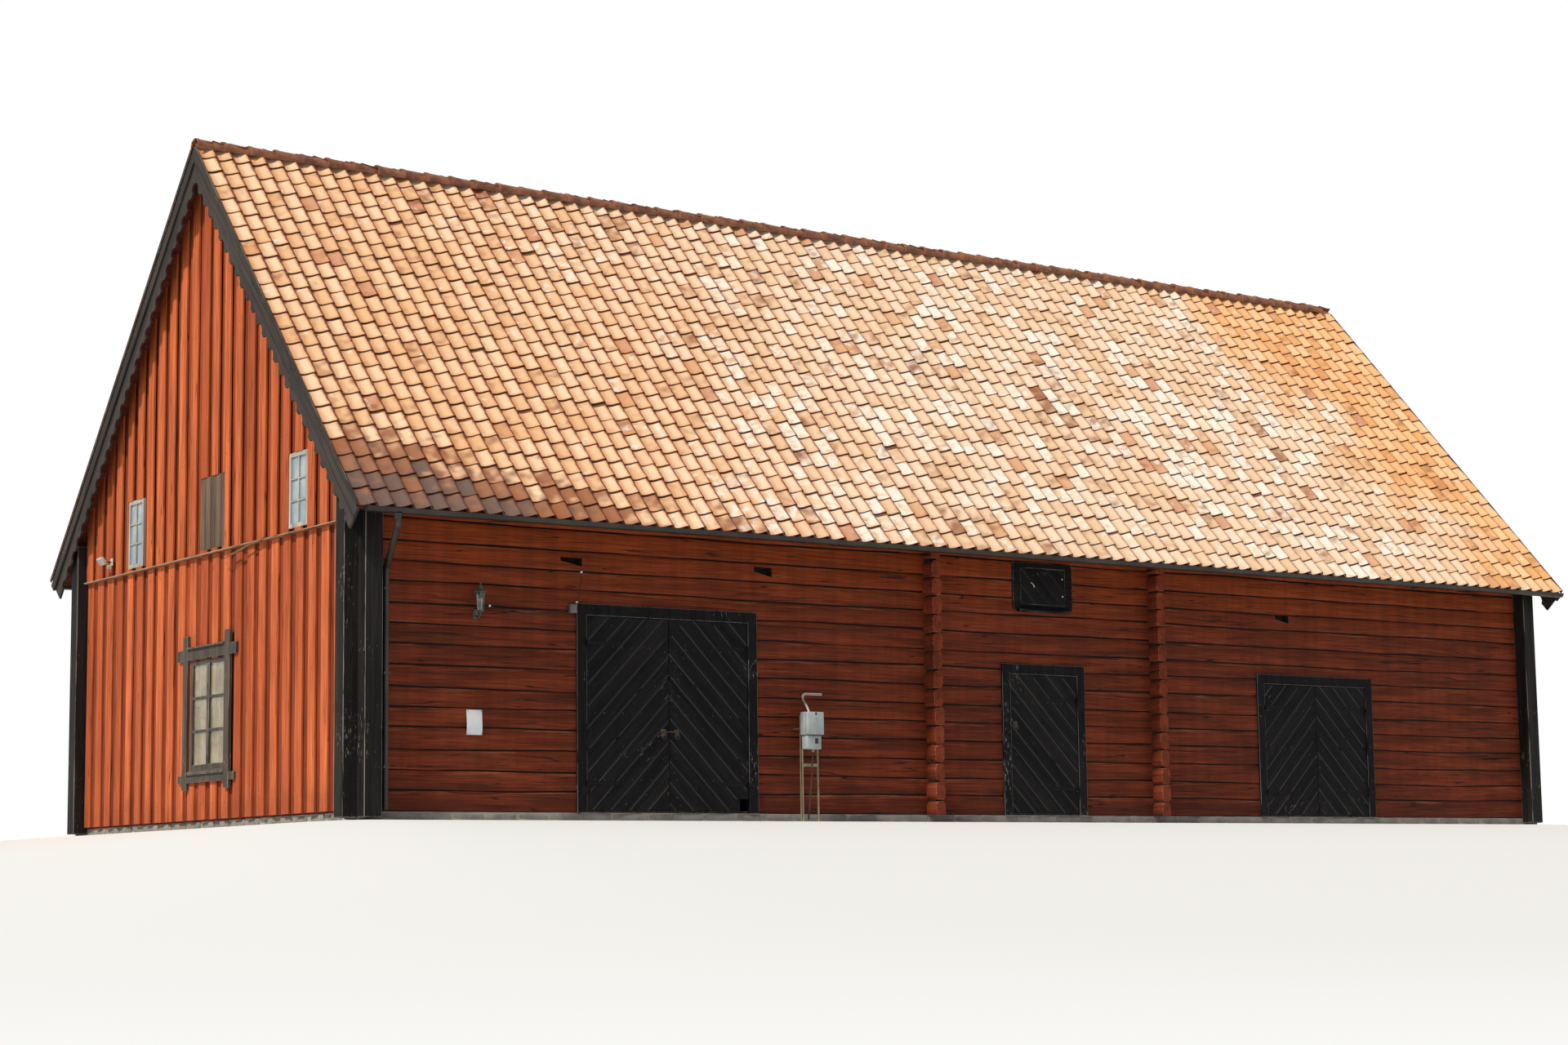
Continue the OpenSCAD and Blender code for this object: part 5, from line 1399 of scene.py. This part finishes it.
# %% Meter boxes, legs and conduits
meter_mid, stand_front, stand_back, leg_top, sheet = -3.87, -4.44, -4.41, 1.36, 0.004
hole = shape_pattern("leg_hole", [lathed([(0.006, -0.05), (0.006, 0.05)], sides=8)])
hole.data.transform(spin(quarter, "X"))
metal = []
for side in (-1, 1):
    mid = meter_mid + 0.02 + side * 0.125
    strip = brick(mid - 0.015, mid + 0.015, stand_front, stand_front + sheet, 0.0, leg_top)
    leg = new_object("leg", part_mesh([strip], "zinc_plain"))
    cutter = new_object("cutter", lay_row(hole, "zinc_plain", 42, (mid, stand_front, 0.05), (0, 0, 0.031)))
    drill = leg.modifiers.new("holes", "BOOLEAN")
    drill.object, drill.operation, drill.solver = cutter, "DIFFERENCE", "EXACT"
    metal.append(evaluated(leg))
    bpy.data.objects.remove(leg)
    bpy.data.objects.remove(cutter)
    flange = brick(mid + side * 0.011, mid + side * 0.015, stand_front, stand_back, 0.0, leg_top)
    tie = brick(mid - 0.006, mid + 0.006, stand_back - 0.002, -4.25, 1.18, 1.20)
    metal.append(part_mesh([flange, tie], "zinc_plain"))


def at_meter(left, right, *rest):
    return brick(meter_mid + left, meter_mid + right, *rest)


metal.append(part_mesh([at_meter(-0.09, 0.13, stand_front + sheet, stand_front + 2 * sheet, z, z + 0.04)
                        for z in (0.70, 1.25)], "zinc_plain"))
upper = part_mesh([at_meter(-0.135, 0.135, -4.545, stand_front, 1.10, 1.40),
                   at_meter(-0.132, 0.132, -4.61, -4.548, 1.103, 1.397)], "box_grey", 0.018, 4)
lower = part_mesh([at_meter(-0.112, 0.112, -4.57, stand_front, 0.92, 1.098)], "box_grey", 0.012, 3)
details = part_mesh([at_meter(-0.010, 0.010, -4.613, -4.60, 1.355, 1.392),
                     at_meter(0.010, 0.060, -4.573, -4.565, 0.99, 1.06),
                     at_meter(-0.10, 0.10, -4.60, -4.50, 1.097, 1.103)], "gutter_black", 0.002)
knobs = part_mesh([tube([(meter_mid + 0.032, y, 0.945) for y in (-4.565, -4.580)], 0.008, 10),
                   tube([(meter_mid, y, 1.31) for y in (-4.605, -4.616)], 0.007, 10),
                   tube([(meter_mid + 0.02, -4.50, z) for z in (0.885, 0.925)], 0.022, 12)], "zinc_plain")
runs = []
for off in (0.0, 0.018):
    path = bow((-3.93 + off, -4.53, 1.39), (-3.95 + off, -4.50, 1.50), (-3.86 + off, -4.30, 1.57), 8)
    path += bow((-3.845 + off, -4.272, 1.60), (-3.845 + off, -4.268, 1.655 - off),
                (-3.78, -4.268, 1.660 - off), 6)
    runs.append(tube(path + [(-3.53, -4.268, 1.660 - off), (-3.51, -4.24, 1.658 - off)], 0.0062, 8))
feeder = bow((meter_mid + 0.02, -4.50, 0.93), (meter_mid + 0.03, -4.46, 0.55),
             (meter_mid + 0.01, -4.40, 0.02))
hand_over("meter_boxes", joined([upper, lower, details, knobs, part_mesh(runs, "conduit_white"),
                                 part_mesh([tube(feeder, 0.011, 8)], "cable_dark")] + metal),
          instead=("meter_cabinet",))

# %% [markdown]
# ## Floodlight at the gable
# A small floodlight sits under the verge: a wall plate, an arm, a tilted head with a glass front in a pale
# rim, cooling fins behind, and a white sensor below. The head is made level, then tipped.

# %% Floodlight
head = part_mesh([brick(-0.028, 0.018, -0.075, 0.075, -0.055, 0.055)], "lamp_white", 0.008, 3)
fins = part_mesh([brick(0.016, 0.032, y - 0.002, y + 0.002, -0.045, 0.045)
                  for y in (-0.06 + 0.02 * i for i in range(7))], "lamp_white")
front = part_mesh([brick(-0.031, -0.026, -0.064, 0.064, -0.044, 0.044)], "upper_pane", 0.002)
for mesh in (head, fins, front):
    mesh.transform(shift(-10.44, 3.10, 3.76) @ spin(math.radians(-35), "Y"))
mount = part_mesh([brick(-10.299, -10.284, 3.06, 3.14, 3.705, 3.805),
                   brick(-10.36, -10.30, 3.085, 3.115, 3.66, 3.71)], "lamp_white", 0.005, 2)
arm = part_mesh([tube([(-10.293, 3.10, 3.75), (-10.41, 3.10, 3.76)], 0.009, 8),
                 tube([(-10.33, 3.10, 3.752), (-10.33, 3.10, 3.70)], 0.006, 8)], "gutter_black")
hand_over("floodlight_lamp", joined([head, fins, front, mount, arm]),
          instead=("floodlight",))

# %% [markdown]
# ## Broken strip, verge strips and footing stones
# A long splinter has come off the drip board and hangs from it. Thin grey strips close the verge beside the
# first tiles. The footing is a row of field stones in mortar: one rounded stone, repeated by the row tree
# with other sizes and turns.

# %% Splinter and verge strips
def splinter(path, width):
    rings = []
    for i, (x, y, z) in enumerate(path):
        w = width * (1 - 0.75 * i / (len(path) - 1))
        rings.append([(x - 0.006, y, z - w), (x + 0.006, y, z - w * 0.8), (x + 0.005, y, z + w),
                      (x - 0.005, y, z + w * 0.7)])
    return loft(rings)


bows = (((-10.325, -1.88, 3.552), (-10.345, -1.30, 3.496), (-10.36, -0.70, 3.392), 12, 0.014),
        ((-10.322, -1.80, 3.530), (-10.338, -1.30, 3.482), (-10.345, -0.84, 3.436), 9, 0.010),
        ((-10.318, -1.60, 3.524), (-10.350, -1.25, 3.470), (-10.37, -0.95, 3.404), 6, 0.006))
shards = [splinter(bow(start, way, end, steps), width) for start, way, end, steps, width in bows]
hand_over("drip_board_splinter", part_mesh(shards, "bare_level"))


def on_slope(along, deep, side):
    return (side * (along * math.cos(pitch) - deep * math.sin(pitch)),
            roof_apex - along * math.sin(pitch) - deep * math.cos(pitch))


strip_section = ((10.523, -0.004), (10.513, -0.010), (10.513, 0.050), (10.523, 0.050))
strips = [loft([[(end * x, *on_slope(0.12 + 0.59 * i, deep, side)) for x, deep in strip_section]
                for i in range(13)]) for side in (-1, 1) for end in (-1, 1)]
hand_over("verge_strips", part_mesh(strips, "barge_front", 0.002))

# %% Footing stones
stone = shape_pattern("stone", [brick(-0.215, 0.215, -0.055, 0.055, -0.052, 0.046)], 0.028, 3)
for v in stone.data.vertices:
    v.co += Vector((0.014 * math.sin(17 * v.co.z + 9 * v.co.x), 0.010 * math.sin(11 * v.co.x + 3),
                    0.004 * math.sin(23 * v.co.x)))
across = shape_pattern("stone_across", [([tuple(v.co) for v in stone.data.vertices],
                                         [tuple(f.vertices) for f in stone.data.polygons])])
across.data.transform(spin(quarter, "Z"))
stone_pitch, stone_z = 0.449, 0.052
uneven_laying = dict(Jitter=0.006, Swing=0.03, Size_Change=0.06)
meshes = []
for side in (-1, 1):
    meshes.append(lay_row(stone, "foot_stone", 46, (-10.1, side * 4.195, stone_z), (stone_pitch, 0, 0),
                          Seed=20 + side, **uneven_laying))
    meshes.append(lay_row(across, "foot_stone", 19, (side * 10.145, -4.04, stone_z), (0, stone_pitch, 0),
                          Seed=30 + side, **uneven_laying))
hand_over("footing_stones", joined(meshes))

# %% [markdown]
# ## Clearing up
# The patterns are taken away.

# %% Clear up
for shape in patterns:
    bpy.data.objects.remove(shape)
